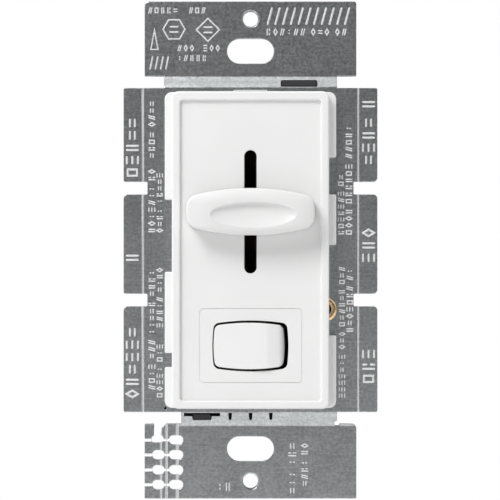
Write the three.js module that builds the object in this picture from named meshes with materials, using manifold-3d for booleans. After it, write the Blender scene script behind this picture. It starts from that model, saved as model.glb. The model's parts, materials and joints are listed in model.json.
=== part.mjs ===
// Wall-box dimmer with a slide control and an on/off rocker.
// Units are millimetres. +X is to the right, +Z is up and the user stands at -Y, so the back box lies at +Y.
// The origin is the middle of the mounting strap, on the plane where its two end tabs meet the wall box.
import * as THREE from "three";
import { mergeVertices } from "three/addons/utils/BufferGeometryUtils.js";
import Module from "manifold-3d";

const wasm = await Module();
wasm.setup();

// ---------------------------------------------------------------- driving dimensions

const GAP = 0.2; // assembly clearance between pieces that touch
const ROUND = 6; // segments in a quarter circle

// Mounting strap: one stamped sheet, with tabs at both ends and a forward step in the middle.
const SHEET = 1.3;
const STRAP_HALF_HEIGHT = 52.1;
const TAB_HALF_WIDTH = 22.2;
const TAB_EDGE = 36.35; // height of each tab's inner edge
const WING_HALF_WIDTH = 26.55;
const WING_HALF_HEIGHT = 33.9;
const NECK_HALF_WIDTH = 18.1;
const LOWER_NECK_LEFT = -14.5;
const STEP = 1.6; // how far the middle stands in front of the tabs
const PLATE_REAR = -STEP;
const PLATE_FRONT = PLATE_REAR - SHEET;
const BOX_SCREW_SPACING = 83.3;
const PLATE_SCREW_SPACING = 96.8;
const PLATE_SCREW_RADIUS = 1.75;
const SCREW_SLOT = { halfLength: 4.9, halfWidth: 2.58 };
const WING_NOTCH = { inner: 21.5, height: 2.6, centres: [12.92, -10.46] };
const SCORE = { x: 22.5, halfWidth: 0.26, depth: 0.5 };

// Face bezel: side flanges, a raised rim and a recessed panel.
const RIM = { halfWidth: 16.35, halfHeight: 33.0, front: -7.5, radius: 1.4 };
const FLANGE = { halfWidth: 17.9, front: -4.6, radius: 1.5 };
const BEZEL_REAR = PLATE_FRONT - GAP;
const PANEL = { halfWidth: 14.6, halfHeight: 31.2, front: -6.5, rear: -5.0, radius: 0.9 };
const BEZEL_WALL = 1.45;
const LEFT_FLANGE_NOTCHES = [[-4.55, 10.45], [-24.4, -21.5]];
const RIGHT_FLANGE_NOTCHES = [[11.6, 19.3], [-17.8, 1.07]];
const LEG = { x: 13.5, heights: [18.0, -22.5], halfThickness: 0.6, halfWidth: 2.5, reach: 0.6 };

// Slide control.
const SLOT = { centre: 7.95, halfLength: 12.82, halfWidth: 1.28 };
const KNOB = { halfWidth: 13.45, halfHeight: 4.95, rear: -6.9, crest: -13.7, power: 2.6 };
const DISH = { halfWidth: 9.1, halfHeight: 2.75, drop: 0.5, depth: 0.95 };
const LEVER = { halfWidth: 0.8, halfLength: 1.4, front: -10.5 };

// Rocker: shown with its left side pressed in.
const ROCKER_CENTRE = -19.95;
const ROCKER_OPENING = { halfWidth: 7.86, halfHeight: 5.23, radius: 1.1, bulge: 0.7 };
const ROCKER_TILT = THREE.MathUtils.degToRad(-5);
const ROCKER_PIVOT_Y = -3.6;
const TRUNNION_RADIUS = 0.9;
const CONTACT_TILT = THREE.MathUtils.degToRad(7.5);
const CONTACT_PIVOT_Y = 8.6;

// Back housing and the board inside it.
const HOUSING = { halfWidth: 21.3, halfHeight: 33.4, wall: 1.3, rear: 30, radius: 2.6 };
const BOARD = { front: 16.0, rear: 17.6, halfWidth: 18.8, halfHeight: 31.0 };
const SCREW = { x: 12.6, z: 29.2, shank: 1.15, head: 2.0 };
const LEAD_EXIT = { z: -23.5, halfLength: 12.5, halfWidth: 2.4, collar: 1.4, height: 1.5 };

// Eyelets through the strap.
const GROUND_EYELET = { x: 15.45, z: -12.4, flange: 2.65 };
const TRIAC_EYELET = { x: -12.2, z: -6.0, flange: 2.5 };
const EYELET_BORE = 1.3;
const EYELET_SHANK = 1.65;
const EYELET_HOLE = 1.8;

// ---------------------------------------------------------------- solids and meshes

// A closed three.js geometry as a manifold solid.
function solid(geometry) {
  const loose = geometry.index ? geometry.toNonIndexed() : geometry;
  const bare = new THREE.BufferGeometry();
  bare.setAttribute("position", loose.getAttribute("position"));
  const merged = mergeVertices(bare, 1e-4);
  const vertProperties = merged.attributes.position.array;
  const triVerts = new Uint32Array(merged.index.array);
  return new wasm.Manifold(new wasm.Mesh({ numProp: 3, vertProperties, triVerts }));
}

// A manifold solid as a three.js geometry with flat shading.
function geometryOf(body) {
  const mesh = body.getMesh();
  const points = new Float32Array(mesh.numVert * 3);
  for (let i = 0; i < mesh.numVert; i++) {
    const start = i * mesh.numProp;
    points.set(mesh.vertProperties.subarray(start, start + 3), i * 3);
  }
  const indexed = new THREE.BufferGeometry();
  indexed.setAttribute("position", new THREE.BufferAttribute(points, 3));
  indexed.setIndex(new THREE.BufferAttribute(new Uint32Array(mesh.triVerts), 1));
  const flat = indexed.toNonIndexed();
  flat.computeVertexNormals();
  return flat;
}

function union(bodies) {
  return bodies.reduce((sum, body) => sum.add(body));
}

// A shape drawn in X and Z, made solid between two depths.
function plate(shape, front, rear, curveSegments = ROUND) {
  const options = { depth: rear - front, bevelEnabled: false, curveSegments };
  const geometry = new THREE.ExtrudeGeometry(shape, options);
  geometry.rotateX(Math.PI / 2);
  geometry.translate(0, rear, 0);
  return solid(geometry);
}

// A plate with each of the given shapes cut right through it.
function drilled(shape, holes, front, rear, curveSegments = ROUND) {
  const cutters = holes.map((hole) => plate(hole, front - 1, rear + 1, curveSegments));
  return plate(shape, front, rear, curveSegments).subtract(union(cutters));
}

// A shape drawn in Y and Z, made solid from one X to another.
function sideways(shape, left, right) {
  const geometry = new THREE.ExtrudeGeometry(shape, { depth: right - left, bevelEnabled: false });
  const turn = new THREE.Matrix4().makeBasis(
    new THREE.Vector3(0, 1, 0),
    new THREE.Vector3(0, 0, 1),
    new THREE.Vector3(1, 0, 0),
  );
  geometry.applyMatrix4(turn);
  geometry.translate(left, 0, 0);
  return solid(geometry);
}

// A shape drawn in X and Y, made solid from one Z to another.
function upright(shape, low, high) {
  const geometry = new THREE.ExtrudeGeometry(shape, { depth: high - low, bevelEnabled: false });
  geometry.translate(0, 0, low);
  return solid(geometry);
}

function box(x, y, z) {
  const geometry = new THREE.BoxGeometry(x[1] - x[0], y[1] - y[0], z[1] - z[0]);
  geometry.translate((x[0] + x[1]) / 2, (y[0] + y[1]) / 2, (z[0] + z[1]) / 2);
  return solid(geometry);
}

// A closed profile of [radius, depth] points turned about the Y direction through (x, z).
function turned(profile, x, z, segments = 4 * ROUND) {
  const points = profile.map(([radius, depth]) => new THREE.Vector2(radius, depth));
  const geometry = new THREE.LatheGeometry(points, segments);
  geometry.translate(x, 0, z);
  return solid(geometry);
}

function rod(radius, front, rear, x, z, segments = 4 * ROUND) {
  return turned([[0, front], [radius, front], [radius, rear], [0, rear]], x, z, segments);
}

function polygon(points) {
  return new THREE.Shape(points.map(([a, b]) => new THREE.Vector2(a, b)));
}

function rectangle(halfWidth, halfHeight, x = 0, z = 0) {
  return polygon([
    [x + halfWidth, z + halfHeight],
    [x - halfWidth, z + halfHeight],
    [x - halfWidth, z - halfHeight],
    [x + halfWidth, z - halfHeight],
  ]);
}

function roundedRectangle(halfWidth, halfHeight, radius, x = 0, z = 0) {
  const shape = new THREE.Shape();
  const right = x + halfWidth - radius;
  const left = x - halfWidth + radius;
  const top = z + halfHeight - radius;
  const bottom = z - halfHeight + radius;
  shape.absarc(right, top, radius, 0, Math.PI / 2);
  shape.absarc(left, top, radius, Math.PI / 2, Math.PI);
  shape.absarc(left, bottom, radius, Math.PI, 1.5 * Math.PI);
  shape.absarc(right, bottom, radius, 1.5 * Math.PI, 2 * Math.PI);
  return shape;
}

function circle(radius, x, z) {
  const shape = new THREE.Shape();
  shape.absarc(x, z, radius, 0, 2 * Math.PI);
  return shape;
}

// A slot with round ends that runs along X or along Z.
function roundSlot(halfLength, halfWidth, x, z, alongZ = false) {
  const reach = halfLength - halfWidth;
  const shape = new THREE.Shape();
  if (alongZ) {
    shape.absarc(x, z + reach, halfWidth, 0, Math.PI);
    shape.absarc(x, z - reach, halfWidth, Math.PI, 2 * Math.PI);
  } else {
    shape.absarc(x + reach, z, halfWidth, -Math.PI / 2, Math.PI / 2);
    shape.absarc(x - reach, z, halfWidth, Math.PI / 2, 1.5 * Math.PI);
  }
  return shape;
}

// A rectangle whose four sides swell outwards, as the rocker and its opening have.
function barrel(halfWidth, halfHeight, radius, bulge) {
  const shape = new THREE.Shape();
  const cornerX = halfWidth - 0.6 * bulge;
  const cornerZ = halfHeight - bulge;
  shape.moveTo(cornerX, -cornerZ + radius);
  shape.quadraticCurveTo(halfWidth + 0.6 * bulge, 0, cornerX, cornerZ - radius);
  shape.quadraticCurveTo(cornerX, cornerZ, cornerX - radius, cornerZ);
  shape.quadraticCurveTo(0, halfHeight + bulge, -cornerX + radius, cornerZ);
  shape.quadraticCurveTo(-cornerX, cornerZ, -cornerX, cornerZ - radius);
  shape.quadraticCurveTo(-halfWidth - 0.6 * bulge, 0, -cornerX, -cornerZ + radius);
  shape.quadraticCurveTo(-cornerX, -cornerZ, -cornerX + radius, -cornerZ);
  shape.quadraticCurveTo(0, -halfHeight - bulge, cornerX - radius, -cornerZ);
  shape.quadraticCurveTo(cornerX, -cornerZ, cornerX, -cornerZ + radius);
  return shape;
}

const paint = (color, roughness, metalness) =>
  new THREE.MeshStandardMaterial({ color, roughness, metalness });

const MATERIALS = {
  strap: paint(0x85898b, 0.45, 1),
  whitePlastic: paint(0xefefee, 0.4, 0),
  blackPlastic: paint(0x1b1b1d, 0.5, 0),
  housing: paint(0x26272a, 0.55, 0),
  copper: paint(0xc98a5a, 0.3, 1),
  brass: paint(0xc9a45a, 0.35, 1),
  tin: paint(0xb9bcc0, 0.35, 1),
  steel: paint(0x9ea1a6, 0.35, 1),
  board: paint(0x9c7a3e, 0.6, 0),
  phenolic: paint(0x5a3a24, 0.6, 0),
  ferrite: paint(0x3a3b3d, 0.7, 0),
  enamel: paint(0xa85a2a, 0.3, 0.6),
  filmYellow: paint(0xc9b23a, 0.4, 0),
  ceramicBlue: paint(0x3f6f9a, 0.45, 0),
  resistorTan: paint(0xc8ab7c, 0.5, 0),
  paper: paint(0x4b4f55, 0.8, 0),
  felt: paint(0x101011, 0.95, 0),
  pad: paint(0x9aa0a6, 0.7, 0),
};

const dimmer = new THREE.Group();

function mesh(name, geometry, material, parent = dimmer) {
  const made = new THREE.Mesh(geometry, material);
  made.name = name;
  parent.add(made);
  return made;
}

function piece(name, body, material, parent = dimmer) {
  return mesh(name, geometryOf(body), material, parent);
}

// ---------------------------------------------------------------- mounting strap

// The sheet's front surface from the side: flat tabs, a smooth bend and a flat middle, as [depth, height].
function strapFrontLine() {
  const bendSteps = 6;
  const bendTop = TAB_EDGE + 0.15;
  const bendBottom = WING_HALF_HEIGHT - 0.15;
  const upper = [[-SHEET, STRAP_HALF_HEIGHT + 1]];
  for (let i = 0; i <= bendSteps; i++) {
    const t = i / bendSteps;
    const depth = -SHEET - STEP * t * t * (3 - 2 * t);
    upper.push([depth, THREE.MathUtils.lerp(bendTop, bendBottom, t)]);
  }
  const lower = upper.map(([depth, height]) => [depth, -height]).reverse();
  return [...upper, ...lower];
}

function strapOutline() {
  const wing = WING_HALF_WIDTH;
  const corner = 0.7;
  const left = [];
  const right = [];
  const wingEdges = [WING_HALF_HEIGHT];
  for (const centre of WING_NOTCH.centres) {
    wingEdges.push(centre + WING_NOTCH.height / 2, centre - WING_NOTCH.height / 2);
  }
  wingEdges.push(-WING_HALF_HEIGHT);
  for (let i = 0; i < wingEdges.length; i += 2) {
    const [top, bottom] = [wingEdges[i], wingEdges[i + 1]];
    const innerTop = i === 0 ? NECK_HALF_WIDTH : WING_NOTCH.inner;
    const innerBottom = i + 2 === wingEdges.length ? NECK_HALF_WIDTH : WING_NOTCH.inner;
    right.push([innerTop, top], [wing - corner, top], [wing, top - corner]);
    right.push([wing, bottom + corner], [wing - corner, bottom], [innerBottom, bottom]);
  }
  for (const [x, z] of right) {
    left.unshift([x === NECK_HALF_WIDTH && z < 0 ? LOWER_NECK_LEFT : -x, z]);
  }
  const top = STRAP_HALF_HEIGHT;
  const tab = TAB_HALF_WIDTH;
  const round = 1.1;
  return polygon([
    [-NECK_HALF_WIDTH, TAB_EDGE],
    [-tab, TAB_EDGE],
    [-tab, top - round],
    [-tab + 0.3 * round, top - 0.3 * round],
    [-tab + round, top],
    [tab - round / 2, top],
    [tab, top - round / 2],
    [tab, TAB_EDGE],
    [NECK_HALF_WIDTH, TAB_EDGE],
    ...right,
    [NECK_HALF_WIDTH, -TAB_EDGE],
    [tab - round, -TAB_EDGE],
    [tab - 0.3 * round, -TAB_EDGE - 0.3 * round],
    [tab, -TAB_EDGE - round],
    [tab, -top],
    [-tab, -top],
    [-tab, -TAB_EDGE],
    [LOWER_NECK_LEFT, -TAB_EDGE],
    ...left,
  ]);
}

// The knock-off corner of the lower tab: two columns of slots with an open notch above the first.
const KNOCK_OFF = {
  rows: [-39.8, -42.9, -46.05, -49.15],
  columns: [{ x: -19.3, halfLength: 1.25 }, { x: -15.6, halfLength: 1.5 }],
  halfHeight: 0.98,
  notch: [-20.1, -18.8],
};

function strapHoles() {
  const screwHoles = [1, -1].flatMap((side) => [
    roundSlot(SCREW_SLOT.halfLength, SCREW_SLOT.halfWidth, 0, (side * BOX_SCREW_SPACING) / 2),
    circle(PLATE_SCREW_RADIUS, 0, (side * PLATE_SCREW_SPACING) / 2),
  ]);
  const eyeletHoles = [GROUND_EYELET, TRIAC_EYELET].map(({ x, z }) => circle(EYELET_HOLE, x, z));
  const windows = [
    rectangle(2.6, 15.4, 0, SLOT.centre),
    rectangle(8.6, 8.3, 0, ROCKER_CENTRE),
  ];
  const legHoles = [-1, 1].flatMap((side) =>
    LEG.heights.map((z) => rectangle(1.5, LEG.halfWidth + 0.4, side * (LEG.x + 0.45), z)),
  );
  const screws = screwPlaces().map(([x, z]) => circle(1.4, x, z));
  const knockOff = KNOCK_OFF.rows.flatMap((z) =>
    KNOCK_OFF.columns.map(({ x, halfLength }) => roundSlot(halfLength, KNOCK_OFF.halfHeight, x, z)),
  );
  const neckSlots = [
    rectangle(3.75, 0.58, 10.15, 34.87),
    rectangle(1.85, 0.62, -10.15, -34.95),
    ...[-4.25, 0, 4.25].map((x) => rectangle(0.45, 0.6, x, -34.75)),
  ];
  return [...screwHoles, ...eyeletHoles, ...windows, ...legHoles, ...screws, ...knockOff, ...neckSlots];
}

function screwPlaces() {
  return [-1, 1].flatMap((sideX) => [1, -1].map((sideZ) => [sideX * SCREW.x, sideZ * SCREW.z]));
}

// A V-shaped cut that runs up the front of the sheet.
function score(x, surface, low, high) {
  const over = 0.1;
  const half = SCORE.halfWidth * (1 + over / SCORE.depth);
  return upright(
    polygon([[x - half, surface - over], [x + half, surface - over], [x, surface + SCORE.depth]]),
    low,
    high,
  );
}

function mountingStrap() {
  const front = strapFrontLine();
  const rear = front.map(([depth, height]) => [depth + SHEET, height]).reverse();
  const bent = sideways(polygon([...front, ...rear]), -WING_HALF_WIDTH - 1, WING_HALF_WIDTH + 1);
  const cut = drilled(strapOutline(), strapHoles(), PLATE_FRONT - 1, 1, 4);
  const notch = box(KNOCK_OFF.notch, [-3, 1], [KNOCK_OFF.rows[0], -TAB_EDGE + 1]);
  const wingScores = [-1, 1].map((side) =>
    score(side * SCORE.x, PLATE_FRONT, -WING_HALF_HEIGHT - 1, WING_HALF_HEIGHT + 1),
  );
  const tabScore = score(-15.45, -SHEET, -STRAP_HALF_HEIGHT - 1, -TAB_EDGE + 1);
  return bent.intersect(cut).subtract(union([notch, ...wingScores, tabScore]));
}

// ---------------------------------------------------------------- face bezel

function bezelShell() {
  const rim = plate(roundedRectangle(RIM.halfWidth, RIM.halfHeight, RIM.radius), RIM.front, BEZEL_REAR);
  const flangeShape = roundedRectangle(FLANGE.halfWidth, RIM.halfHeight, FLANGE.radius);
  const flangeNotches = [
    ...LEFT_FLANGE_NOTCHES.map((z) => box([-FLANGE.halfWidth - 1, -RIM.halfWidth + 0.2], [-9, 0], z)),
    ...RIGHT_FLANGE_NOTCHES.map((z) => box([RIM.halfWidth - 0.2, FLANGE.halfWidth + 1], [-9, 0], z)),
  ];
  const flange = plate(flangeShape, FLANGE.front, BEZEL_REAR).subtract(union(flangeNotches));
  const recessShape = roundedRectangle(PANEL.halfWidth, PANEL.halfHeight, PANEL.radius);
  const cavityShape = roundedRectangle(
    RIM.halfWidth - BEZEL_WALL,
    RIM.halfHeight - BEZEL_WALL,
    0.5,
  );
  const slot = roundSlot(SLOT.halfLength, SLOT.halfWidth, 0, SLOT.centre, true);
  const { halfWidth, halfHeight, radius, bulge } = ROCKER_OPENING;
  const opening = plate(barrel(halfWidth, halfHeight, radius, bulge), RIM.front - 1, 0);
  return rim
    .add(flange)
    .subtract(plate(recessShape, RIM.front - 1, PANEL.front))
    .subtract(plate(cavityShape, PANEL.rear, 0))
    .subtract(plate(slot, RIM.front - 1, 0))
    .subtract(opening.translate(0, 0, ROCKER_CENTRE))
    .subtract(rod(GROUND_EYELET.flange + 0.4, -4.1, 0, GROUND_EYELET.x, GROUND_EYELET.z));
}

// One of the two ears behind the panel that hold the rocker's trunnions.
function rockerEar(side) {
  const centre = ROCKER_CENTRE + side * 7.1;
  const hole = new THREE.CylinderGeometry(1.05, 1.05, 4, 16);
  hole.rotateX(Math.PI / 2);
  hole.translate(0, ROCKER_PIVOT_Y, centre);
  const ear = box([-2.1, 2.1], [PANEL.rear - 0.3, -1.9], [centre - 0.6, centre + 0.6]);
  return ear.subtract(solid(hole));
}

// A snap leg that reaches through the strap and hooks behind it.
function snapLeg(side, z) {
  const inner = LEG.x - LEG.halfThickness;
  const outer = LEG.x + LEG.halfThickness;
  const hookFront = PLATE_REAR + GAP;
  const profile = polygon([
    [side * inner, PANEL.rear - 0.3],
    [side * outer, PANEL.rear - 0.3],
    [side * outer, hookFront],
    [side * (outer + LEG.reach), hookFront],
    [side * outer, hookFront + 1.6],
    [side * inner, hookFront + 1.6],
  ]);
  return upright(profile, z - LEG.halfWidth, z + LEG.halfWidth);
}

function faceBezel() {
  const legs = [-1, 1].flatMap((side) => LEG.heights.map((z) => snapLeg(side, z)));
  return union([bezelShell(), rockerEar(1), rockerEar(-1), ...legs]);
}

// ---------------------------------------------------------------- slide control

// A closed skin through rings of points, all with the same count, with both ends capped.
function skin(rings) {
  const count = rings[0].length;
  const positions = [];
  const face = (a, b, c) => positions.push(...a, ...b, ...c);
  for (let i = 0; i + 1 < rings.length; i++) {
    for (let j = 0; j < count; j++) {
      const k = (j + 1) % count;
      face(rings[i][j], rings[i][k], rings[i + 1][k]);
      face(rings[i][j], rings[i + 1][k], rings[i + 1][j]);
    }
  }
  const middle = (ring) => [0, 1, 2].map((axis) => ring.reduce((sum, p) => sum + p[axis], 0) / count);
  const first = middle(rings[0]);
  const last = middle(rings[rings.length - 1]);
  for (let j = 0; j < count; j++) {
    const k = (j + 1) % count;
    face(first, rings[0][k], rings[0][j]);
    face(last, rings[rings.length - 1][j], rings[rings.length - 1][k]);
  }
  const geometry = new THREE.BufferGeometry();
  geometry.setAttribute("position", new THREE.Float32BufferAttribute(positions, 3));
  return solid(geometry);
}

// A ring of points on a superellipse in X and Z, at one depth.
function superRing(halfWidth, halfHeight, power, depth, centreZ, count = 32) {
  return Array.from({ length: count }, (_, i) => {
    const angle = (2 * Math.PI * i) / count;
    const bend = (value) => Math.sign(value) * Math.abs(value) ** (2 / power);
    return [halfWidth * bend(Math.cos(angle)), depth, centreZ + halfHeight * bend(Math.sin(angle))];
  });
}

function knobShell() {
  const { halfWidth, halfHeight, rear, crest, power } = KNOB;
  const ring = (share, depth, lower, roundness = power) =>
    superRing(halfWidth * share, halfHeight * share, roundness, depth, SLOT.centre - lower);
  const dishRing = (share, depth) =>
    superRing(DISH.halfWidth * share, DISH.halfHeight * share, 2, depth, SLOT.centre - DISH.drop);
  return skin([
    ring(0.955, rear, 0),
    ring(1, rear - 0.8, 0),
    ring(0.985, rear - 3.2, 0.05),
    ring(0.94, rear - 5.1, 0.15, 2.5),
    ring(0.86, crest + 0.45, 0.3, 2.3),
    ring(0.77, crest, 0.4, 2.15),
    dishRing(1.03, crest + 0.08),
    dishRing(0.95, crest + 0.35),
    dishRing(0.7, crest + 0.72),
    dishRing(0.35, crest + DISH.depth),
  ]);
}

function sliderKnob() {
  const hollow = skin([
    superRing(11.4, 3.5, 2.4, KNOB.rear - 4.4, SLOT.centre),
    superRing(12.2, 3.9, 2.6, KNOB.rear + 1, SLOT.centre),
  ].reverse());
  const hub = box([-2.4, 2.4], [KNOB.rear - 5, KNOB.rear], [SLOT.centre - 3, SLOT.centre + 3]);
  const socket = box(
    [-LEVER.halfWidth - GAP, LEVER.halfWidth + GAP],
    [LEVER.front - GAP, KNOB.rear + 1],
    [SLOT.centre - LEVER.halfLength - GAP, SLOT.centre + LEVER.halfLength + GAP],
  );
  return knobShell().subtract(hollow).add(hub).subtract(socket);
}

function slideLever() {
  const z = SLOT.centre;
  const { halfWidth, halfLength } = LEVER;
  const tang = box([-halfWidth, halfWidth], [LEVER.front, 10], [z - halfLength, z + halfLength]);
  const carriage = box([-3.4, 3.4], [9.6, 12.5], [z - 4.5, z + 4.5]);
  const runners = [-1, 1].map((side) =>
    box([side * 2.6 - 0.4, side * 2.6 + 0.4], [12.4, 13.0], [z - 4.5, z + 4.5]),
  );
  return union([tang, carriage, ...runners]);
}

function wiperContact() {
  const z = SLOT.centre;
  const fingers = [-1, 1].map((side) => {
    const finger = polygon([[12.72, 2.4], [13.02, 2.4], [13.85, -2.9], [13.75, -3.8], [13.45, -2.9]]);
    return sideways(finger, side * 1.1 - 0.5, side * 1.1 + 0.5).translate(0, 0, z);
  });
  return union([box([-1.9, 1.9], [12.7, 13.0], [z + 1.4, z + 3.9]), ...fingers]);
}

function potHousing() {
  const z = SLOT.centre;
  const outer = plate(roundedRectangle(5.0, 19.4, 0.5, 0, z), 8.2, 15.7, 2);
  const inner = box([-3.9, 3.9], [9.2, 14.8], [z - 17, z + 17]);
  const slot = box([-1.1, 1.1], [8, 9.5], [z - 12.9, z + 12.9]);
  const solderWindow = box([-2.6, 2.6], [14.5, 16], [z - 18.6, z - 17.6]);
  return outer.subtract(inner).subtract(slot).subtract(solderWindow);
}

function dustGasket() {
  const felt = roundedRectangle(4.2, 15.0, 0.8, 0, SLOT.centre);
  const slit = roundSlot(13.1, 1.05, 0, SLOT.centre, true);
  return drilled(felt, [slit], PANEL.rear + 0.15, PANEL.rear + 0.95, 3);
}

// ---------------------------------------------------------------- rocker and its switch

// The rocker's section in X and Y about its pivot: a flat middle and a falling facet at each end.
function rockerSection() {
  const half = [
    [4.1, -3.5],
    [5.6, -3.23],
    [6.5, -2.98],
    [7.05, -2.55],
    [7.32, -1.9],
    [7.4, -0.9],
    [7.4, 0.5],
  ];
  const mirrored = half.map(([x, y]) => [-x, y]).reverse();
  return polygon([...mirrored, [-3.2, -3.56], [3.2, -3.56], ...half]);
}

function rockerBody() {
  const block = upright(rockerSection(), -6, 6);
  const outline = plate(barrel(7.42, 4.76, 0.9, 0.66), -5, 2);
  const hollow = box([-6.0, 6.0], [-2.0, 2], [-3.5, 3.5]);
  const stem = box([-2.2, 2.2], [-2.5, 7.2], [-2.2, 2.2]);
  const trunnion = new THREE.CylinderGeometry(TRUNNION_RADIUS, TRUNNION_RADIUS, 15.2, 16);
  trunnion.rotateX(Math.PI / 2);
  const web = box([-1.2, 1.2], [-2.5, 0.9], [-3.7, 3.7]);
  return block
    .intersect(outline)
    .subtract(hollow)
    .add(union([stem, solid(trunnion), web]))
    .subtract(rod(1.5, 1.2, 8, 0, 0, 16));
}

function rockerPlunger() {
  const tip = [];
  for (let i = 0; i <= 4; i++) {
    const angle = (Math.PI / 2) * (i / 4);
    tip.push([1.2 * Math.cos(angle), 9.1 + 1.2 * Math.sin(angle)]);
  }
  tip[4][0] = 0;
  return turned([[0, 4.7], [1.3, 4.7], [1.3, 7.4], [1.2, 7.6], ...tip], 0, 0, 16);
}

function plungerSpring() {
  const turns = 4;
  const [start, end] = [1.5, 4.4];
  const radius = 1.1;
  class Helix extends THREE.Curve {
    getPoint(t, target = new THREE.Vector3()) {
      const angle = 2 * Math.PI * turns * t;
      const depth = THREE.MathUtils.lerp(start, end, t);
      return target.set(radius * Math.cos(angle), depth, radius * Math.sin(angle));
    }
  }
  const wire = polygon([[0.17, 0], [0.05, 0.16], [-0.14, 0.1], [-0.14, -0.1], [0.05, -0.16]]);
  return new THREE.ExtrudeGeometry(wire, { steps: turns * 11, extrudePath: new Helix() });
}

// The see-saw contact, drawn level about its own pivot.
function contactLever() {
  const blade = box([-5.6, 5.6], [-1.7, -1.0], [-2.0, 2.0]);
  const seat = sideways(polygon([[-1.3, -0.5], [-0.85, -0.5], [-0.85, 0.5], [-1.3, 0.5]]), -0.5, 0.5);
  return blade.subtract(seat).add(rod(1.1, -1.2, -0.55, 4.6, 0, 16));
}

function switchBase() {
  const z = ROCKER_CENTRE;
  const block = plate(roundedRectangle(7.2, 4.8, 0.6, 0, z), 6.3, 15.7, 2);
  const pocket = box([-6.3, 6.3], [6, 12.6], [z - 3.2, z + 3.2]);
  const commonSlot = box([-0.8, 0.8], [12, 16], [z - 1.7, z + 1.7]);
  const loadSlot = box([4.9, 6.1], [12, 16], [z - 1.7, z + 1.7]);
  return block.subtract(pocket).subtract(commonSlot).subtract(loadSlot);
}

function commonTerminal() {
  const z = ROCKER_CENTRE;
  const knife = polygon([[0, 7.95], [0.5, 8.6], [0.5, 15.8], [-0.5, 15.8], [-0.5, 8.6]]);
  return upright(knife, z - 1.4, z + 1.4);
}

function loadTerminal() {
  const z = ROCKER_CENTRE;
  const strip = polygon([[3.4, 9.5], [5.8, 9.5], [5.8, 15.8], [5.2, 15.8], [5.2, 10.1], [3.4, 10.1]]);
  return upright(strip, z - 1.4, z + 1.4).add(rod(1.1, 9.1, 9.7, 4.55, z, 16));
}

// ---------------------------------------------------------------- strap fixings

// A rolled hollow rivet that clamps what lies between the strap's front and a rear face.
function eyelet({ x, z, flange }, rear) {
  const front = PLATE_FRONT - GAP / 2;
  const lip = 0.35;
  const thick = 0.45;
  return turned(
    [
      [EYELET_BORE, rear + 0.3],
      [EYELET_BORE, front - 0.1],
      [EYELET_BORE + 0.2, front - thick],
      [(EYELET_BORE + flange) / 2, front - thick - 0.12],
      [flange - 0.15, front - thick + 0.05],
      [flange, front - 0.1],
      [flange - 0.1, front],
      [EYELET_SHANK, front],
      [EYELET_SHANK, rear + 0.05],
      [EYELET_SHANK + lip, rear + 0.1],
      [EYELET_SHANK + lip, rear + 0.45],
      [EYELET_BORE + 0.1, rear + 0.55],
      [EYELET_BORE, rear + 0.3],
    ],
    x,
    z,
    28,
  );
}

function groundLug() {
  const { x, z } = GROUND_EYELET;
  const ring = new THREE.Shape();
  ring.absarc(x, z, 3.1, 0.7 * Math.PI, 2.3 * Math.PI);
  ring.lineTo(x + 1.1, z + 6.2);
  ring.lineTo(x - 1.1, z + 6.2);
  const front = BARRIER.rear + 0.1;
  const palm = drilled(ring, [circle(EYELET_HOLE, x, z)], front, front + 0.6);
  const sleeve = (radius, low, high) => {
    const geometry = new THREE.CylinderGeometry(radius, radius, high - low, 16);
    geometry.rotateX(Math.PI / 2);
    geometry.translate(x, front + 1.5, (low + high) / 2);
    return solid(geometry);
  };
  return palm.add(sleeve(1.5, z + 6, z + 11)).subtract(sleeve(0.95, z + 5, z + 12));
}

const BARRIER = { front: PLATE_REAR + GAP / 2, rear: PLATE_REAR + GAP / 2 + 0.5 };

// The insulating sheet that keeps the live parts off the strap.
function insulatingBarrier() {
  const sheet = roundedRectangle(19.4, 31.6, 1.5);
  const holes = [
    rectangle(3.2, 16.2, 0, SLOT.centre),
    rectangle(9.0, 8.4, 0, ROCKER_CENTRE),
    circle(2.0, GROUND_EYELET.x, GROUND_EYELET.z),
    rectangle(5.4, 8.4, TRIAC_EYELET.x, TRIAC_EYELET.z + 4.3),
    ...[-1, 1].flatMap((side) =>
      LEG.heights.map((z) => rectangle(1.7, LEG.halfWidth + 0.5, side * 14.1, z)),
    ),
    ...screwPlaces().map(([x, z]) => circle(1.6, x, z)),
  ];
  return drilled(sheet, holes, BARRIER.front, BARRIER.rear, 3);
}

const TRIAC = { halfWidth: 5.0, tabFront: -1.2, tabRear: 0.1, caseRear: 3.3 };

function triacPad() {
  const { x, z } = TRIAC_EYELET;
  const pad = roundedRectangle(5.2, 8.0, 0.4, x, z + 4.3);
  return drilled(pad, [circle(EYELET_HOLE, x, z)], PLATE_REAR + 0.08, TRIAC.tabFront - 0.08, 4);
}

// The triac's metal tab and its three legs, which turn back to the board.
function triacTab() {
  const { x, z } = TRIAC_EYELET;
  const tab = roundedRectangle(TRIAC.halfWidth, 6.0, 0.6, x, z + 3.2);
  return drilled(tab, [circle(EYELET_HOLE, x, z)], TRIAC.tabFront, TRIAC.tabRear, 4);
}

function triacCase() {
  const { x, z } = TRIAC_EYELET;
  const low = z + 3.3;
  const section = polygon([
    [TRIAC.tabRear + 0.05, low + 0.35],
    [TRIAC.caseRear, low],
    [TRIAC.caseRear, low + 9.2],
    [TRIAC.tabRear + 0.05, low + 8.85],
  ]);
  return sideways(section, x - TRIAC.halfWidth, x + TRIAC.halfWidth);
}

function triacLead(offset) {
  const { x, z } = TRIAC_EYELET;
  const start = z + 12.7;
  const bent = polygon([
    [1.5, start],
    [2.0, start],
    [2.0, start + 1.6],
    [15.8, start + 1.6],
    [15.8, start + 2.1],
    [1.5, start + 2.1],
  ]);
  return sideways(bent, x + offset - 0.4, x + offset + 0.4);
}

// ---------------------------------------------------------------- board and its components

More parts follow.
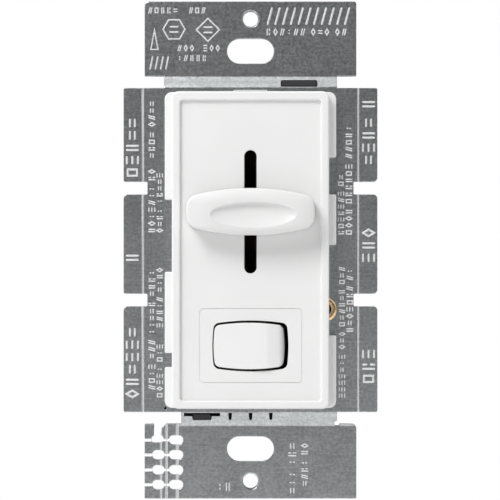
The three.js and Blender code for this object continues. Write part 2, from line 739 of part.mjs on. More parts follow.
function circuitBoard() {
  const blank = plate(roundedRectangle(BOARD.halfWidth, BOARD.halfHeight, 1.0), BOARD.front, BOARD.rear, 3);
  const notches = screwPlaces().map(([x, z]) => rod(2.7, BOARD.front - 1, BOARD.rear + 1, x, z, 20));
  return blank.subtract(union(notches));
}

const CHOKE = { x: -8.6, z: 6.0, front: 18.6, rear: 25.4, inner: 4.2, outer: 8.2 };

function chokeCore() {
  const { inner, outer, front, rear, x, z } = CHOKE;
  const profile = [[inner, front], [outer, front], [outer, rear], [inner, rear], [inner, front]];
  return turned(profile, x, z, 32);
}

// The winding: a sleeve round the core that is left open over a short arc.
function chokeWinding() {
  const { inner, outer, front, rear, x, z } = CHOKE;
  const wire = 0.7;
  const clear = 0.15;
  const section = (grow) => [
    [inner - grow, front - grow],
    [outer + grow, front - grow],
    [outer + grow, rear + grow],
    [inner - grow, rear + grow],
    [inner - grow, front - grow],
  ];
  const sleeve = turned(section(clear + wire), x, z, 40).subtract(turned(section(clear), x, z, 40));
  const open = polygon([[0, 0], [14, -6.5], [14, 6.5]]);
  return sleeve.subtract(plate(open, front - 2, rear + 2).translate(x, 0, z));
}

// A moulded box component standing on the rear of the board.
function boxedPart(x, z, halfWidth, halfHeight, depth) {
  const front = BOARD.rear + GAP;
  return plate(roundedRectangle(halfWidth, halfHeight, 0.5, x, z), front, front + depth, 2);
}

// An axial component lying across the rear of the board, with its two bent leads.
function axialPart(x, z, radius, length, swell) {
  const y = BOARD.rear + GAP + radius + 0.2;
  const half = length / 2;
  const profile = [
    [0, -half],
    [radius * swell, -half],
    [radius, -half + 0.5],
    [radius * (swell + 1) / 2, 0],
    [radius, half - 0.5],
    [radius * swell, half],
    [0, half],
  ];
  const body = new THREE.LatheGeometry(profile.map(([r, h]) => new THREE.Vector2(r, h)), 12);
  body.rotateZ(Math.PI / 2);
  body.translate(x, y, z);
  const reach = half + 1.6;
  const wire = 0.25;
  const bar = box([x - reach, x + reach], [y - wire, y + wire], [z - wire, z + wire]);
  const legs = [-1, 1].map((side) => {
    const end = x + side * reach;
    return box([end - wire, end + wire], [BOARD.rear + GAP, y + wire], [z - wire, z + wire]);
  });
  return union([solid(body), bar, ...legs]);
}

// ---------------------------------------------------------------- back housing

// The oblong that the lead wires leave by, grown by a wall thickness.
function leadSlot(wall, front, rear) {
  const { z, halfLength, halfWidth } = LEAD_EXIT;
  return plate(roundSlot(halfLength + wall, halfWidth + wall, 0, z), front, rear);
}

function backHousing() {
  const { halfWidth, halfHeight, wall, rear, radius } = HOUSING;
  const front = PLATE_REAR + GAP;
  const shell = plate(roundedRectangle(halfWidth, halfHeight, radius), front, rear);
  const inside = roundedRectangle(halfWidth - wall, halfHeight - wall, radius - wall);
  const hollow = plate(inside, front - 1, rear - wall);
  const lipFront = 0.35;
  const lips = [
    box([-17.5, 17.5], [lipFront, 2.4], [halfHeight - 0.5, 36.0]),
    box([LOWER_NECK_LEFT + 0.5, 17.5], [lipFront, 2.4], [-36.0, -halfHeight + 0.5]),
  ];
  const hooks = [
    box([6.8, 13.5], [-2.6, lipFront + 0.2], [34.55, 35.15]),
    box([-11.7, -8.6], [-2.6, lipFront + 0.2], [-35.25, -34.65]),
  ];
  const bosses = screwPlaces().flatMap(([x, z]) => [
    rod(2.35, BARRIER.rear + GAP, rear - 0.5, x, z, 20),
    rod(3.3, BOARD.rear + GAP, rear - 0.5, x, z, 20),
  ]);
  const pilots = screwPlaces().map(([x, z]) => rod(SCREW.shank + 0.1, -2, 10, x, z, 12));
  const collarRear = rear + LEAD_EXIT.height;
  return shell
    .subtract(hollow)
    .add(union([...lips, ...hooks, ...bosses, leadSlot(LEAD_EXIT.collar, rear - 0.5, collarRear)]))
    .subtract(union([...pilots, leadSlot(0, rear - 3, collarRear + 1)]));
}

// A pan-head screw with a cross recess, from the front of the strap into a boss.
function housingScrew([x, z]) {
  const seat = PLATE_FRONT - GAP / 2;
  const body = turned(
    [
      [0, seat - 1.25],
      [1.2, seat - 1.2],
      [SCREW.head - 0.2, seat - 0.8],
      [SCREW.head, seat - 0.3],
      [SCREW.head, seat],
      [SCREW.shank, seat],
      [SCREW.shank, 6.4],
      [0.3, 7.6],
      [0, 7.6],
    ],
    x,
    z,
    16,
  );
  const recess = [0.22, 0.95];
  const arms = [recess, [...recess].reverse()].map(([a, b]) =>
    box([x - a, x + a], [seat - 2, seat - 0.6], [z - b, z + b]),
  );
  return body.subtract(union(arms));
}

// ---------------------------------------------------------------- assembly

piece("mounting_strap", mountingStrap(), MATERIALS.strap);
piece("face_bezel", faceBezel(), MATERIALS.whitePlastic);
piece("dust_gasket", dustGasket(), MATERIALS.felt);

const slider = new THREE.Group();
dimmer.add(slider);
piece("slider_knob", sliderKnob(), MATERIALS.whitePlastic, slider);
piece("slide_lever", slideLever(), MATERIALS.blackPlastic, slider);
piece("wiper_contact", wiperContact(), MATERIALS.brass, slider);
piece("slide_pot_housing", potHousing(), MATERIALS.blackPlastic);
const elementEnds = [SLOT.centre - 16.6, SLOT.centre + 16.6];
piece("slide_pot_element", box([-3.5, 3.5], [14.05, 14.6], elementEnds), MATERIALS.phenolic);

const rocker = new THREE.Group();
rocker.position.set(0, ROCKER_PIVOT_Y, ROCKER_CENTRE);
rocker.rotation.z = ROCKER_TILT;
dimmer.add(rocker);
piece("rocker", rockerBody(), MATERIALS.whitePlastic, rocker);
piece("rocker_plunger", rockerPlunger(), MATERIALS.brass, rocker);
mesh("plunger_spring", plungerSpring(), MATERIALS.steel, rocker);

const contact = new THREE.Group();
contact.position.set(0, CONTACT_PIVOT_Y, ROCKER_CENTRE);
contact.rotation.z = CONTACT_TILT;
dimmer.add(contact);
piece("contact_lever", contactLever(), MATERIALS.copper, contact);
piece("switch_base", switchBase(), MATERIALS.phenolic);
piece("common_terminal", commonTerminal(), MATERIALS.brass);
piece("load_terminal", loadTerminal(), MATERIALS.brass);

piece("ground_eyelet", eyelet(GROUND_EYELET, BARRIER.rear + 0.7), MATERIALS.copper);
piece("ground_lug", groundLug(), MATERIALS.tin);
piece("insulating_barrier", insulatingBarrier(), MATERIALS.paper);
piece("triac_eyelet", eyelet(TRIAC_EYELET, TRIAC.tabRear), MATERIALS.copper);
piece("triac_pad", triacPad(), MATERIALS.pad);
piece("triac_tab", triacTab(), MATERIALS.tin);
piece("triac_case", triacCase(), MATERIALS.blackPlastic);
[-2.54, 0, 2.54].forEach((offset, i) => {
  piece(`triac_lead_${i + 1}`, triacLead(offset), MATERIALS.tin);
});

piece("circuit_board", circuitBoard(), MATERIALS.board);
piece("choke_core", chokeCore(), MATERIALS.ferrite);
piece("choke_winding", chokeWinding(), MATERIALS.enamel);
piece("filter_capacitor", boxedPart(9.6, 14.0, 3.0, 6.5, 9.2), MATERIALS.filmYellow);
piece("timing_capacitor", boxedPart(8.2, -2.4, 3.6, 1.9, 6.4), MATERIALS.ceramicBlue);
piece("diac", axialPart(9.0, -8.2, 0.9, 3.8, 1.0), MATERIALS.ceramicBlue);
piece("resistor_1", axialPart(9.0, -12.0, 1.15, 6.2, 1.12), MATERIALS.resistorTan);
piece("resistor_2", axialPart(-7.5, -9.0, 1.15, 6.2, 1.12), MATERIALS.resistorTan);

piece("back_housing", backHousing(), MATERIALS.housing);
screwPlaces().forEach((place, i) => {
  piece(`housing_screw_${i + 1}`, housingScrew(place), MATERIALS.steel);
});

export default dimmer;
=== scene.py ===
"""The looks of the wall-box slide dimmer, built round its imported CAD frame. Lengths are in mm here."""
import json
import math
import random

import bmesh
import bpy
from mathutils import Matrix, Vector, geometry

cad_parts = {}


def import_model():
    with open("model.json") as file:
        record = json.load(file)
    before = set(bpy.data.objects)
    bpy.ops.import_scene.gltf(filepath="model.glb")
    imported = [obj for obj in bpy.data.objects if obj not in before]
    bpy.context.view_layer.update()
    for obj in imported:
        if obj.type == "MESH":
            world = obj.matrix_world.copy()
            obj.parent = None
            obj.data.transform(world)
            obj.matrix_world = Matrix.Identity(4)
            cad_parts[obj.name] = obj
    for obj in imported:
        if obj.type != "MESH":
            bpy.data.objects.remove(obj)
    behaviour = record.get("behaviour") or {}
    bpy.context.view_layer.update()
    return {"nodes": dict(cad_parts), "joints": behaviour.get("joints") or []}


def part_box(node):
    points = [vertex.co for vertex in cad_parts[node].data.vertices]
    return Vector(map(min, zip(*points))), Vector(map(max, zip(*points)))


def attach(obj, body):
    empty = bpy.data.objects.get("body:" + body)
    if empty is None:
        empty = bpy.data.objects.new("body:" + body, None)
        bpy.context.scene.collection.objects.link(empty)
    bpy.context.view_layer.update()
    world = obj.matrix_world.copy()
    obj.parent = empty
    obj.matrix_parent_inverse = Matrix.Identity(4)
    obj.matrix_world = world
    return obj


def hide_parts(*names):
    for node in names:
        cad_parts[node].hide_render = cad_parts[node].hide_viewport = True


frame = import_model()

MM = 0.001
NODES = frame["nodes"]

# -------- places from the frame, and sizes


def box_of(node):
    """A CAD node's lowest and highest corners, in millimetres."""
    return [tuple(round(value / MM, 3) for value in corner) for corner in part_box(node)]


def centre_of(node):
    """The middle of a CAD node's box in X and Z."""
    low, high = box_of(node)
    return tuple(round((low[i] + high[i]) / 2, 3) for i in (0, 2))


def pivot_of(name):
    """A joint's place, in millimetres."""
    places = {joint["name"]: joint.get("pos_m") for joint in frame["joints"]}
    return [round(value / MM, 3) for value in places[name]]


STRAP_LOW, STRAP_HIGH = box_of("mounting_strap")
BEZEL_LOW, BEZEL_HIGH = box_of("face_bezel")
KNOB_LOW, KNOB_HIGH = box_of("slider_knob")
HOUSING_HIGH = box_of("back_housing")[1]
SPARE = 0.02  # the looks stay this far inside the CAD's widest places

SHEET = 1.3
TAB_REAR, TAB_FRONT = STRAP_HIGH[1], STRAP_HIGH[1] - SHEET
PLATE_FRONT = STRAP_LOW[1]
STEP = TAB_FRONT - PLATE_FRONT
BEND_TOP, BEND_BOTTOM = 36.5, 33.75
LOWER_BEND_RUN = 0.45
TAIL_X = -15.0
TAB_EDGE = 36.35
STRAP_TOP = STRAP_HIGH[2] - SPARE
TAB_WIDTH = 22.18
WING_WIDTH = STRAP_HIGH[0] - SPARE
WING_TOP = 33.88
NECK = 18.1
LOWER_NECK_LEFT = -14.5
NOTCH_INNER = 21.55
NOTCHES = [(14.22, 11.62), (-9.16, -11.76)]
BOX_SCREW_Z, BOX_SLOT = 41.65, (4.9, 2.58)
PLATE_SCREW_Z, PLATE_HOLE = 48.4, 1.78
SCORE_X = 22.5
EYELET, EYELET_HOLE = centre_of("ground_eyelet"), 1.8

BEZEL_REAR = PLATE_FRONT - 0.2
RIM_FRONT = BEZEL_LOW[1]
FLANGE_FRONT = BEZEL_REAR - 1.5
PANEL_FRONT, PANEL_REAR = RIM_FRONT + 1.0, RIM_FRONT + 2.5
RIM = (16.33, BEZEL_HIGH[2] - SPARE)
FLANGE = (BEZEL_HIGH[0] - SPARE, 32.93)
SLOT_Z, SLOT_HALF, SLOT_WIDTH = centre_of("slider_knob")[1], 12.82, 1.28
KNOB_REAR, KNOB_CREST = KNOB_HIGH[1], KNOB_LOW[1]
_, ROCKER_PIVOT_Y, ROCKER_Z = pivot_of("rocker_tilt")

EXIT_LIP = 1.5
HOUSING_FRONT, HOUSING_REAR = -1.4, HOUSING_HIGH[1] - EXIT_LIP
HOUSING_HALF = (HOUSING_HIGH[0] - SPARE, 33.38)

# -------- outlines in X and Z


def arc(x, z, radius, start, end, steps):
    """Points round part of a circle, angles in degrees."""
    out = []
    for i in range(steps + 1):
        angle = math.radians(start + (end - start) * i / steps)
        out.append(Vector((x + radius * math.cos(angle), z + radius * math.sin(angle))))
    return out


def circle(x, z, radius, steps):
    return arc(x, z, radius, 0, 360, steps)[:-1]


def oblong(x, z, half_length, half_width, upright=False, steps=14):
    """A slot with round ends, along X or upright."""
    reach = half_length - half_width
    if upright:
        return arc(x, z + reach, half_width, 0, 180, steps) + arc(x, z - reach, half_width, 180, 360, steps)
    return arc(x + reach, z, half_width, -90, 90, steps) + arc(x - reach, z, half_width, 90, 270, steps)


def rounded(corners, steps=6):
    """A closed outline through (x, z, radius) corners, each corner turned as an arc."""
    out = []
    count = len(corners)
    for i, (x, z, radius) in enumerate(corners):
        here = Vector((x, z))
        if radius <= 0:
            out.append(here)
            continue
        back = (Vector(corners[i - 1][:2]) - here).normalized()
        ahead = (Vector(corners[(i + 1) % count][:2]) - here).normalized()
        half = back.angle(ahead) / 2
        centre = here + (back + ahead).normalized() * (radius / math.sin(half))
        start = here + back * (radius / math.tan(half)) - centre
        end = here + ahead * (radius / math.tan(half)) - centre
        first = math.atan2(start.y, start.x)
        turn = (math.atan2(end.y, end.x) - first + math.pi) % (2 * math.pi) - math.pi
        for k in range(steps + 1):
            angle = first + turn * k / steps
            out.append(centre + radius * Vector((math.cos(angle), math.sin(angle))))
    return out


def rectangle(left, right, low, high, radius=0.0, steps=6):
    corners = [(left, low), (right, low), (right, high), (left, high)]
    return rounded([(x, z, radius) for x, z in corners], steps)


def bowed(half_width, half_height, radius, bow_x, bow_z, steps=16):
    """A rounded rectangle whose sides swell outwards to the half sizes given at their middles."""
    cx, cz = half_width - bow_x, half_height - bow_z
    plain = rectangle(-cx, cx, -cz, cz, radius, 8)
    dense = []
    for i, here in enumerate(plain):
        there = plain[(i + 1) % len(plain)]
        pieces = max(1, int((there - here).length / (2 * cx / steps)))
        dense += [here.lerp(there, k / pieces) for k in range(pieces)]
    out = []
    for p in dense:
        swell_x = bow_x * (1 - (p.y / cz) ** 2) * p.x / cx
        swell_z = bow_z * (1 - (p.x / cx) ** 2) * p.y / cz
        out.append(Vector((p.x + swell_x, p.y + swell_z)))
    return out


def area_of(loop):
    return sum(a.x * b.y - b.x * a.y for a, b in zip(loop, loop[1:] + loop[:1])) / 2


def turned_way(loop, anticlockwise):
    return loop if (area_of(loop) > 0) == anticlockwise else loop[::-1]


def inset(loop, distance):
    """The loop moved to its left by a distance, corners mitred."""
    if distance == 0:
        return list(loop)
    out = []
    count = len(loop)
    for i, here in enumerate(loop):
        before = (here - loop[i - 1]).normalized()
        after = (loop[(i + 1) % count] - here).normalized()
        left = Vector((-before.y - after.y, before.x + after.x))
        if left.length < 1e-9:
            left = Vector((-before.y, before.x))
        left.normalize()
        lean = max(0.15, left.dot(Vector((-before.y, before.x))))
        out.append(here + left * (distance / lean))
    return out


# -------- mesh building


def new_object(name, mesh):
    made = bpy.data.objects.new(name, mesh)
    bpy.context.scene.collection.objects.link(made)
    return made


def from_bmesh(name, bm):
    mesh = bpy.data.meshes.new(name)
    bm.to_mesh(mesh)
    bm.free()
    return new_object(name, mesh)


def bridge(bm, one, two):
    """Quads between two rings of the same count."""
    count = len(one)
    for i in range(count):
        k = (i + 1) % count
        bm.faces.new((one[i], two[i], two[k], one[k]))


def inside(x, z, loops):
    """Whether a point is inside the first loop and outside the others."""
    crossed = False
    for loop in loops:
        before = loop[-1]
        for here in loop:
            if (here.y > z) != (before.y > z):
                if x < (before.x - here.x) * (z - here.y) / (before.y - here.y) + here.x:
                    crossed = not crossed
            before = here
    return crossed


def cap(bm, rings, faces_front):
    """Fills the flat area inside the first ring and outside the others."""
    loops = [[Vector((v.co.x, v.co.z)) for v in ring] for ring in rings]
    corners = [v for ring in rings for v in ring]
    edges, start = [], 0
    for ring in rings:
        count = len(ring)
        edges += [(start + i, start + (i + 1) % count) for i in range(count)]
        start += count
    points = [p for loop in loops for p in loop]
    placed, _, triangles, sources, _, _ = geometry.delaunay_2d_cdt(points, edges, [], 1, 1e-6)
    for triangle in triangles:
        middle = sum((placed[k] for k in triangle), Vector((0, 0))) / 3
        if not inside(middle.x, middle.y, loops):
            continue
        a, b, c = (corners[sources[k][0]] for k in triangle)
        facing = (b.co - a.co).cross(c.co - a.co).y < 0
        bm.faces.new((a, b, c) if facing == faces_front else (a, c, b))


def add_slab(bm, outline, holes, levels):
    """A closed plate through (inset, depth) levels from front to rear, in an open bmesh."""
    loops = [turned_way(outline, True)] + [turned_way(h, False) for h in holes]
    stacks = []
    for loop in loops:
        rings = []
        for distance, depth in levels:
            rings.append([bm.verts.new((p.x, depth, p.y)) for p in inset(loop, distance)])
        for one, two in zip(rings, rings[1:]):
            bridge(bm, one, two)
        stacks.append(rings)
    cap(bm, [rings[0] for rings in stacks], True)
    cap(bm, [rings[-1] for rings in stacks], False)


def slab_bmesh(outline, holes, front, rear, front_round=0.0, rear_round=0.0, steps=4, draft=0.0):
    """A plate with holes between two depths, its edges rounded. Draft draws the rear in, in mm."""
    levels = []
    for k in range(steps if front_round else 0):
        angle = math.pi / 2 * k / steps
        levels.append((front_round * (1 - math.sin(angle)), front + front_round * (1 - math.cos(angle))))
    levels.append((0.0, front + front_round))
    levels.append((0.0, rear - rear_round))
    for k in range(1, steps + 1 if rear_round else 0):
        angle = math.pi / 2 * k / steps
        levels.append((rear_round * (1 - math.cos(angle)), rear - rear_round * (1 - math.sin(angle))))
    levels = [(distance + draft * (depth - front) / (rear - front), depth) for distance, depth in levels]
    bm = bmesh.new()
    add_slab(bm, outline, holes, levels)
    return bm


def slab(name, *args, **options):
    return from_bmesh(name, slab_bmesh(*args, **options))


def cut_across(bm, heights, axis=2):
    """Extra edge lines across a mesh at given places along an axis."""
    normal = [0, 0, 0]
    normal[axis] = 1
    for height in heights:
        point = [0, 0, 0]
        point[axis] = height
        everything = bm.verts[:] + bm.edges[:] + bm.faces[:]
        bmesh.ops.bisect_plane(bm, geom=everything, plane_co=point, plane_no=normal, dist=1e-5)


def combine(target, tools, operation="DIFFERENCE"):
    """Boolean of the target with each tool in turn. The tools are used up."""
    for tool in tools:
        modifier = target.modifiers.new("cut", "BOOLEAN")
        modifier.operation = operation
        modifier.solver = "EXACT"
        modifier.material_mode = "TRANSFER"
        modifier.object = tool
        graph = bpy.context.evaluated_depsgraph_get()
        made = bpy.data.meshes.new_from_object(target.evaluated_get(graph))
        target.modifiers.clear()
        target.data = made
        bpy.data.objects.remove(tool)
    return target


def lathe(name, profile, centre, segments, closed=False):
    """A profile of (radius, depth) points turned about the Y direction."""
    x, z = centre
    bm = bmesh.new()
    rings = []
    for radius, depth in profile:
        if radius == 0:
            rings.append([bm.verts.new((x, depth, z))] * segments)
        else:
            rings.append([bm.verts.new((p.x, depth, p.y)) for p in circle(x, z, radius, segments)])
    pairs = list(zip(rings, rings[1:]))
    if closed:
        pairs.append((rings[-1], rings[0]))
    for one, two in pairs:
        for i in range(segments):
            k = (i + 1) % segments
            corners = list(dict.fromkeys((one[i], two[i], two[k], one[k])))
            if len(corners) > 2:
                bm.faces.new(corners)
    bmesh.ops.recalc_face_normals(bm, faces=bm.faces)
    return from_bmesh(name, bm)


def stack(name, rings):
    """A closed skin through rings of points, both ends filled."""
    bm = bmesh.new()
    made = [[bm.verts.new(p) for p in ring] for ring in rings]
    for one, two in zip(made, made[1:]):
        bridge(bm, one, two)
    bm.faces.new(made[0])
    bm.faces.new(made[-1])
    bmesh.ops.recalc_face_normals(bm, faces=bm.faces)
    return from_bmesh(name, bm)


def flat_regions(bm, limit):
    """A region number for every face and each region's area. Faces in one plane share a region."""
    number, areas = {}, []
    for first in bm.faces:
        if first in number:
            continue
        number[first] = len(areas)
        todo, total = [first], 0.0
        while todo:
            face = todo.pop()
            total += face.calc_area()
            for edge in face.edges:
                if len(edge.link_faces) == 2 and edge.calc_face_angle(math.pi) < limit:
                    for other in edge.link_faces:
                        if other not in number:
                            number[other] = len(areas)
                            todo.append(other)
        areas.append(total)
    return number, areas


def shade(mesh, sharp):
    """Smooth normals in which a large flat face keeps its own direction up to its rounded edge."""
    bm = bmesh.new()
    bm.from_mesh(mesh)
    number, areas = flat_regions(bm, math.radians(0.4))
    place = {loop: i for i, loop in enumerate(loop for face in bm.faces for loop in face.loops)}
    normals = [None] * len(place)
    for vertex in bm.verts:
        groups = {face: {face} for face in vertex.link_faces}
        for edge in vertex.link_edges:
            if len(edge.link_faces) == 2 and edge.calc_face_angle(math.pi) < sharp:
                one, two = (groups[face] for face in edge.link_faces)
                if one is not two:
                    one |= two
                    for face in two:
                        groups[face] = one
        for loop in vertex.link_loops:
            regions = {number[face]: face.normal for face in groups[loop.face]}
            total = sum((normal * areas[region] for region, normal in regions.items()), Vector())
            normals[place[loop]] = total.normalized()
    bm.free()
    for polygon in mesh.polygons:
        polygon.use_smooth = True
    mesh.normals_split_custom_set(normals)


def settle(piece, body, finishes, replaced, sharp):
    """Scales a piece to metres, shades it and hangs it on its CAD body. Angles over `sharp` stay hard."""
    shade(piece.data, math.radians(sharp))
    piece.data.transform(Matrix.Scale(MM, 4))
    given = [polygon.material_index for polygon in piece.data.polygons]
    piece.data.materials.clear()
    for finish in finishes if isinstance(finishes, list) else [finishes]:
        piece.data.materials.append(finish)
    piece.data.polygons.foreach_set("material_index", given)
    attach(piece, body)
    if replaced:
        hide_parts(*replaced)
    return piece


# -------- materials


class Nodes:
    """Short calls that add nodes to a tree."""

    def __init__(self, tree):
        self.tree = tree

    def node(self, kind, **settings):
        made = self.tree.nodes.new(kind)
        for key, value in settings.items():
            setattr(made, key, value)
        return made

    def link(self, source, target):
        self.tree.links.new(source, target)

    def spread(self, value, low, high, to_low, to_high, **settings):
        made = self.node("ShaderNodeMapRange", **settings)
        for socket, number in zip(("From Min", "From Max", "To Min", "To Max"), (low, high, to_low, to_high)):
            made.inputs[socket].default_value = number
        self.link(value, made.inputs["Value"])
        return made.outputs["Result"]

    def maths(self, operation, one, two=0.0):
        made = self.node("ShaderNodeMath", operation=operation)
        for socket, value in zip(made.inputs, (one, two)):
            if isinstance(value, (int, float)):
                socket.default_value = value
            else:
                self.link(value, socket)
        return made.outputs["Value"]


class Finish(Nodes):
    """A Principled material and the nodes that shape it."""

    def __init__(self, name, colour, roughness, metallic=0.0, **extra):
        self.material = bpy.data.materials.new(name)
        self.material.use_nodes = True
        super().__init__(self.material.node_tree)
        self.shader = self.tree.nodes["Principled BSDF"]
        self.shader.inputs["Base Color"].default_value = (*colour, 1)
        self.shader.inputs["Roughness"].default_value = roughness
        self.shader.inputs["Metallic"].default_value = metallic
        for socket, value in extra.items():
            self.shader.inputs[socket.replace("_", " ")].default_value = value
        self.place = self.node("ShaderNodeTexCoord").outputs["Object"]

    def stretched(self, scale):
        mapping = self.node("ShaderNodeMapping")
        mapping.inputs["Scale"].default_value = scale
        self.link(self.place, mapping.inputs["Vector"])
        return mapping.outputs["Vector"]

    def noise(self, scale, detail=4.0, roughness=0.55, stretch=None):
        made = self.node("ShaderNodeTexNoise")
        made.inputs["Scale"].default_value = scale
        made.inputs["Detail"].default_value = detail
        made.inputs["Roughness"].default_value = roughness
        self.link(self.stretched(stretch) if stretch else self.place, made.inputs["Vector"])
        return made.outputs["Fac"]

    def weighed(self, *parts):
        """The sum of (value, weight) parts."""
        scaled = [self.maths("MULTIPLY", value, weight) for value, weight in parts]
        total = scaled[0]
        for value in scaled[1:]:
            total = self.maths("ADD", total, value)
        return total

    def mix(self, factor, one, two):
        made = self.node("ShaderNodeMix", data_type="RGBA")
        self.link(factor, made.inputs["Factor"])
        for socket, value in ((made.inputs["A"], one), (made.inputs["B"], two)):
            if isinstance(value, tuple):
                socket.default_value = (*value, 1)
            else:
                self.link(value, socket)
        return made.outputs["Result"]

    def colour(self, value):
        self.link(value, self.shader.inputs["Base Color"])

    def rough(self, value):
        self.link(value, self.shader.inputs["Roughness"])

    def bump(self, height, strength, distance):
        made = self.node("ShaderNodeBump")
        made.inputs["Strength"].default_value = strength
        made.inputs["Distance"].default_value = distance
        self.link(height, made.inputs["Height"])
        if self.shader.inputs["Normal"].links:
            self.link(self.shader.inputs["Normal"].links[0].from_socket, made.inputs["Normal"])
        self.link(made.outputs["Normal"], self.shader.inputs["Normal"])


def mottled(name, dark, light, scale, roughness, metallic=0.0, bump=0.12, depth=0.00003):
    """A material whose colour and roughness drift between two values, with fine bump."""
    made = Finish(name, light, sum(roughness) / 2, metallic)
    coarse = made.noise(scale, 5)
    fine = made.noise(scale * 9, 4, 0.65)
    drift = made.spread(made.weighed((coarse, 0.6), (fine, 0.4)), 0.38, 0.62, 0.0, 1.0)
    made.colour(made.mix(drift, dark, light))
    made.rough(made.spread(fine, 0.3, 0.7, *roughness))
    made.bump(fine, bump, depth)
    return made.material


def mill_aluminium(name, dark, light, grain=0.14, metallic=1.0):
    """Rolled sheet: fine speckle, faint rolling lines and slow blotches."""
    made = Finish(name, light, 0.3, metallic)
    speckle = made.noise(1700, 2, 0.55)
    lines = made.noise(1.0, 3, 0.6, (260, 260, 5200))
    blotch = made.noise(140, 4, 0.5)
    total = made.weighed((speckle, 0.5), (lines, 0.3), (blotch, 0.2))
    made.colour(made.mix(made.spread(total, 0.36, 0.62, 0.0, 1.0), dark, light))
    made.rough(made.spread(speckle, 0.35, 0.65, 0.325, 0.355))
    made.bump(speckle, grain, 0.00004)
    made.bump(lines, 0.12, 0.00002)
    return made.material


def moulded_white(name, level):
    """Satin white moulding with a faint orange peel."""
    made = Finish(name, (level, level, level), 0.34)
    peel = made.noise(700, 3, 0.5)
    drift = made.noise(60, 3, 0.5)
    dull, clean = [(level + step, level + step, level + step - 0.003) for step in (-0.01, 0.012)]
    made.colour(made.mix(made.spread(drift, 0.35, 0.65, 0.0, 1.0), dull, clean))
    made.rough(made.spread(peel, 0.3, 0.7, 0.29, 0.4))
    made.bump(peel, 0.05, 0.00002)
    return made.material


def spark_texture(name, colour, light, roughness=(0.45, 0.62)):
    """Dark moulding with the grain of a spark-eroded tool and slight scuffs."""
    made = Finish(name, colour, 0.55)
    grain = made.noise(5200, 3, 0.6)
    scuff = made.noise(1.0, 5, 0.7, (90, 900, 90))
    slow = made.noise(50, 4, 0.5)
    marks = made.spread(scuff, 0.62, 0.74, 0.0, 0.35)
    base = made.mix(made.spread(slow, 0.35, 0.65, 0.0, 1.0), colour, light)
    made.colour(made.mix(marks, base, tuple(4 * c + 0.02 for c in light)))
    made.rough(made.spread(grain, 0.3, 0.7, *roughness))
    made.bump(grain, 0.3, 0.00003)
    return made.material


def laminate(name):
    """Paper-phenolic board: warm tan with weak fibres."""
    made = Finish(name, (0.5, 0.34, 0.13), 0.5)
    fibres = made.noise(1.0, 5, 0.7, (300, 300, 2400))
    made.colour(made.mix(made.spread(fibres, 0.35, 0.65, 0.0, 1.0), (0.40, 0.25, 0.09), (0.58, 0.41, 0.18)))
    made.rough(made.spread(fibres, 0.3, 0.7, 0.42, 0.6))
    made.bump(fibres, 0.2, 0.00002)
    return made.material


def wound_wire(name, centre):
    """Turns of enamelled wire side by side, running out from the ring's centre (x, z)."""
    turns_per_radian = 34.0
    made = Finish(name, (0.6, 0.27, 0.1), 0.3, 0.8, Coat_Weight=0.6, Coat_Roughness=0.12)
    shifted = made.node("ShaderNodeVectorMath", operation="SUBTRACT")
    made.link(made.place, shifted.inputs[0])
    shifted.inputs[1].default_value = (centre[0] * MM, 0, centre[1] * MM)
    parts = made.node("ShaderNodeSeparateXYZ")
    made.link(shifted.outputs["Vector"], parts.inputs["Vector"])
    angle = made.maths("ARCTAN2", parts.outputs["Z"], parts.outputs["X"])
    turns = made.maths("ABSOLUTE", made.maths("SINE", made.maths("MULTIPLY", angle, turns_per_radian)))
    # The colour goes dark between the turns and light on their tops: painted shade and painted highlight,
    # besides the bump.
    made.colour(made.mix(turns, (0.22, 0.07, 0.02), (0.72, 0.34, 0.13)))
    made.bump(turns, 0.8, 0.0002)
    made.rough(made.spread(made.noise(900, 4), 0.3, 0.7, 0.24, 0.4))
    return made.material


def banded(name, node, body, bands):
    """A resistor or diode body with colour bands across X. Bands are (offset from its middle, colour)."""
    half_band = 0.28
    made = Finish(name, body, 0.4)
    parts = made.node("ShaderNodeSeparateXYZ")
    made.link(made.place, parts.inputs["Vector"])
    stain = made.noise(900, 4, 0.6)
    paint = made.mix(made.spread(stain, 0.3, 0.7, 0.0, 1.0), tuple(0.85 * c for c in body), body)
    for offset, colour in bands:
        place = (centre_of(node)[0] + offset) * MM
        away = made.maths("ABSOLUTE", made.maths("SUBTRACT", parts.outputs["X"], place))
        paint = made.mix(made.maths("LESS_THAN", away, half_band * MM), paint, colour)
    made.colour(paint)
    made.rough(made.spread(stain, 0.3, 0.7, 0.32, 0.5))
    made.bump(stain, 0.1, 0.00003)
    return made.material


ALUMINIUM = mill_aluminium("mill_aluminium", (0.37, 0.385, 0.39), (0.60, 0.62, 0.63))
# Near-white metal for the score lines and the stamped marks: painted highlight, the light their sloped faces
# catch, laid into their colour.
PAINTED_GLINT_METAL = (0.80, 0.81, 0.82), (0.95, 0.95, 0.95)
SCORE_PAINTED_GLINT = mill_aluminium("score_painted_glint", *PAINTED_GLINT_METAL, 0.1)
# The stamped marks take it too, less metallic: painted highlight on the raised strokes.
STAMP_PAINTED_GLINT = mill_aluminium("stamp_painted_glint", *PAINTED_GLINT_METAL, 0.1, 0.35)
WHITE = moulded_white("moulded_white", 0.87)
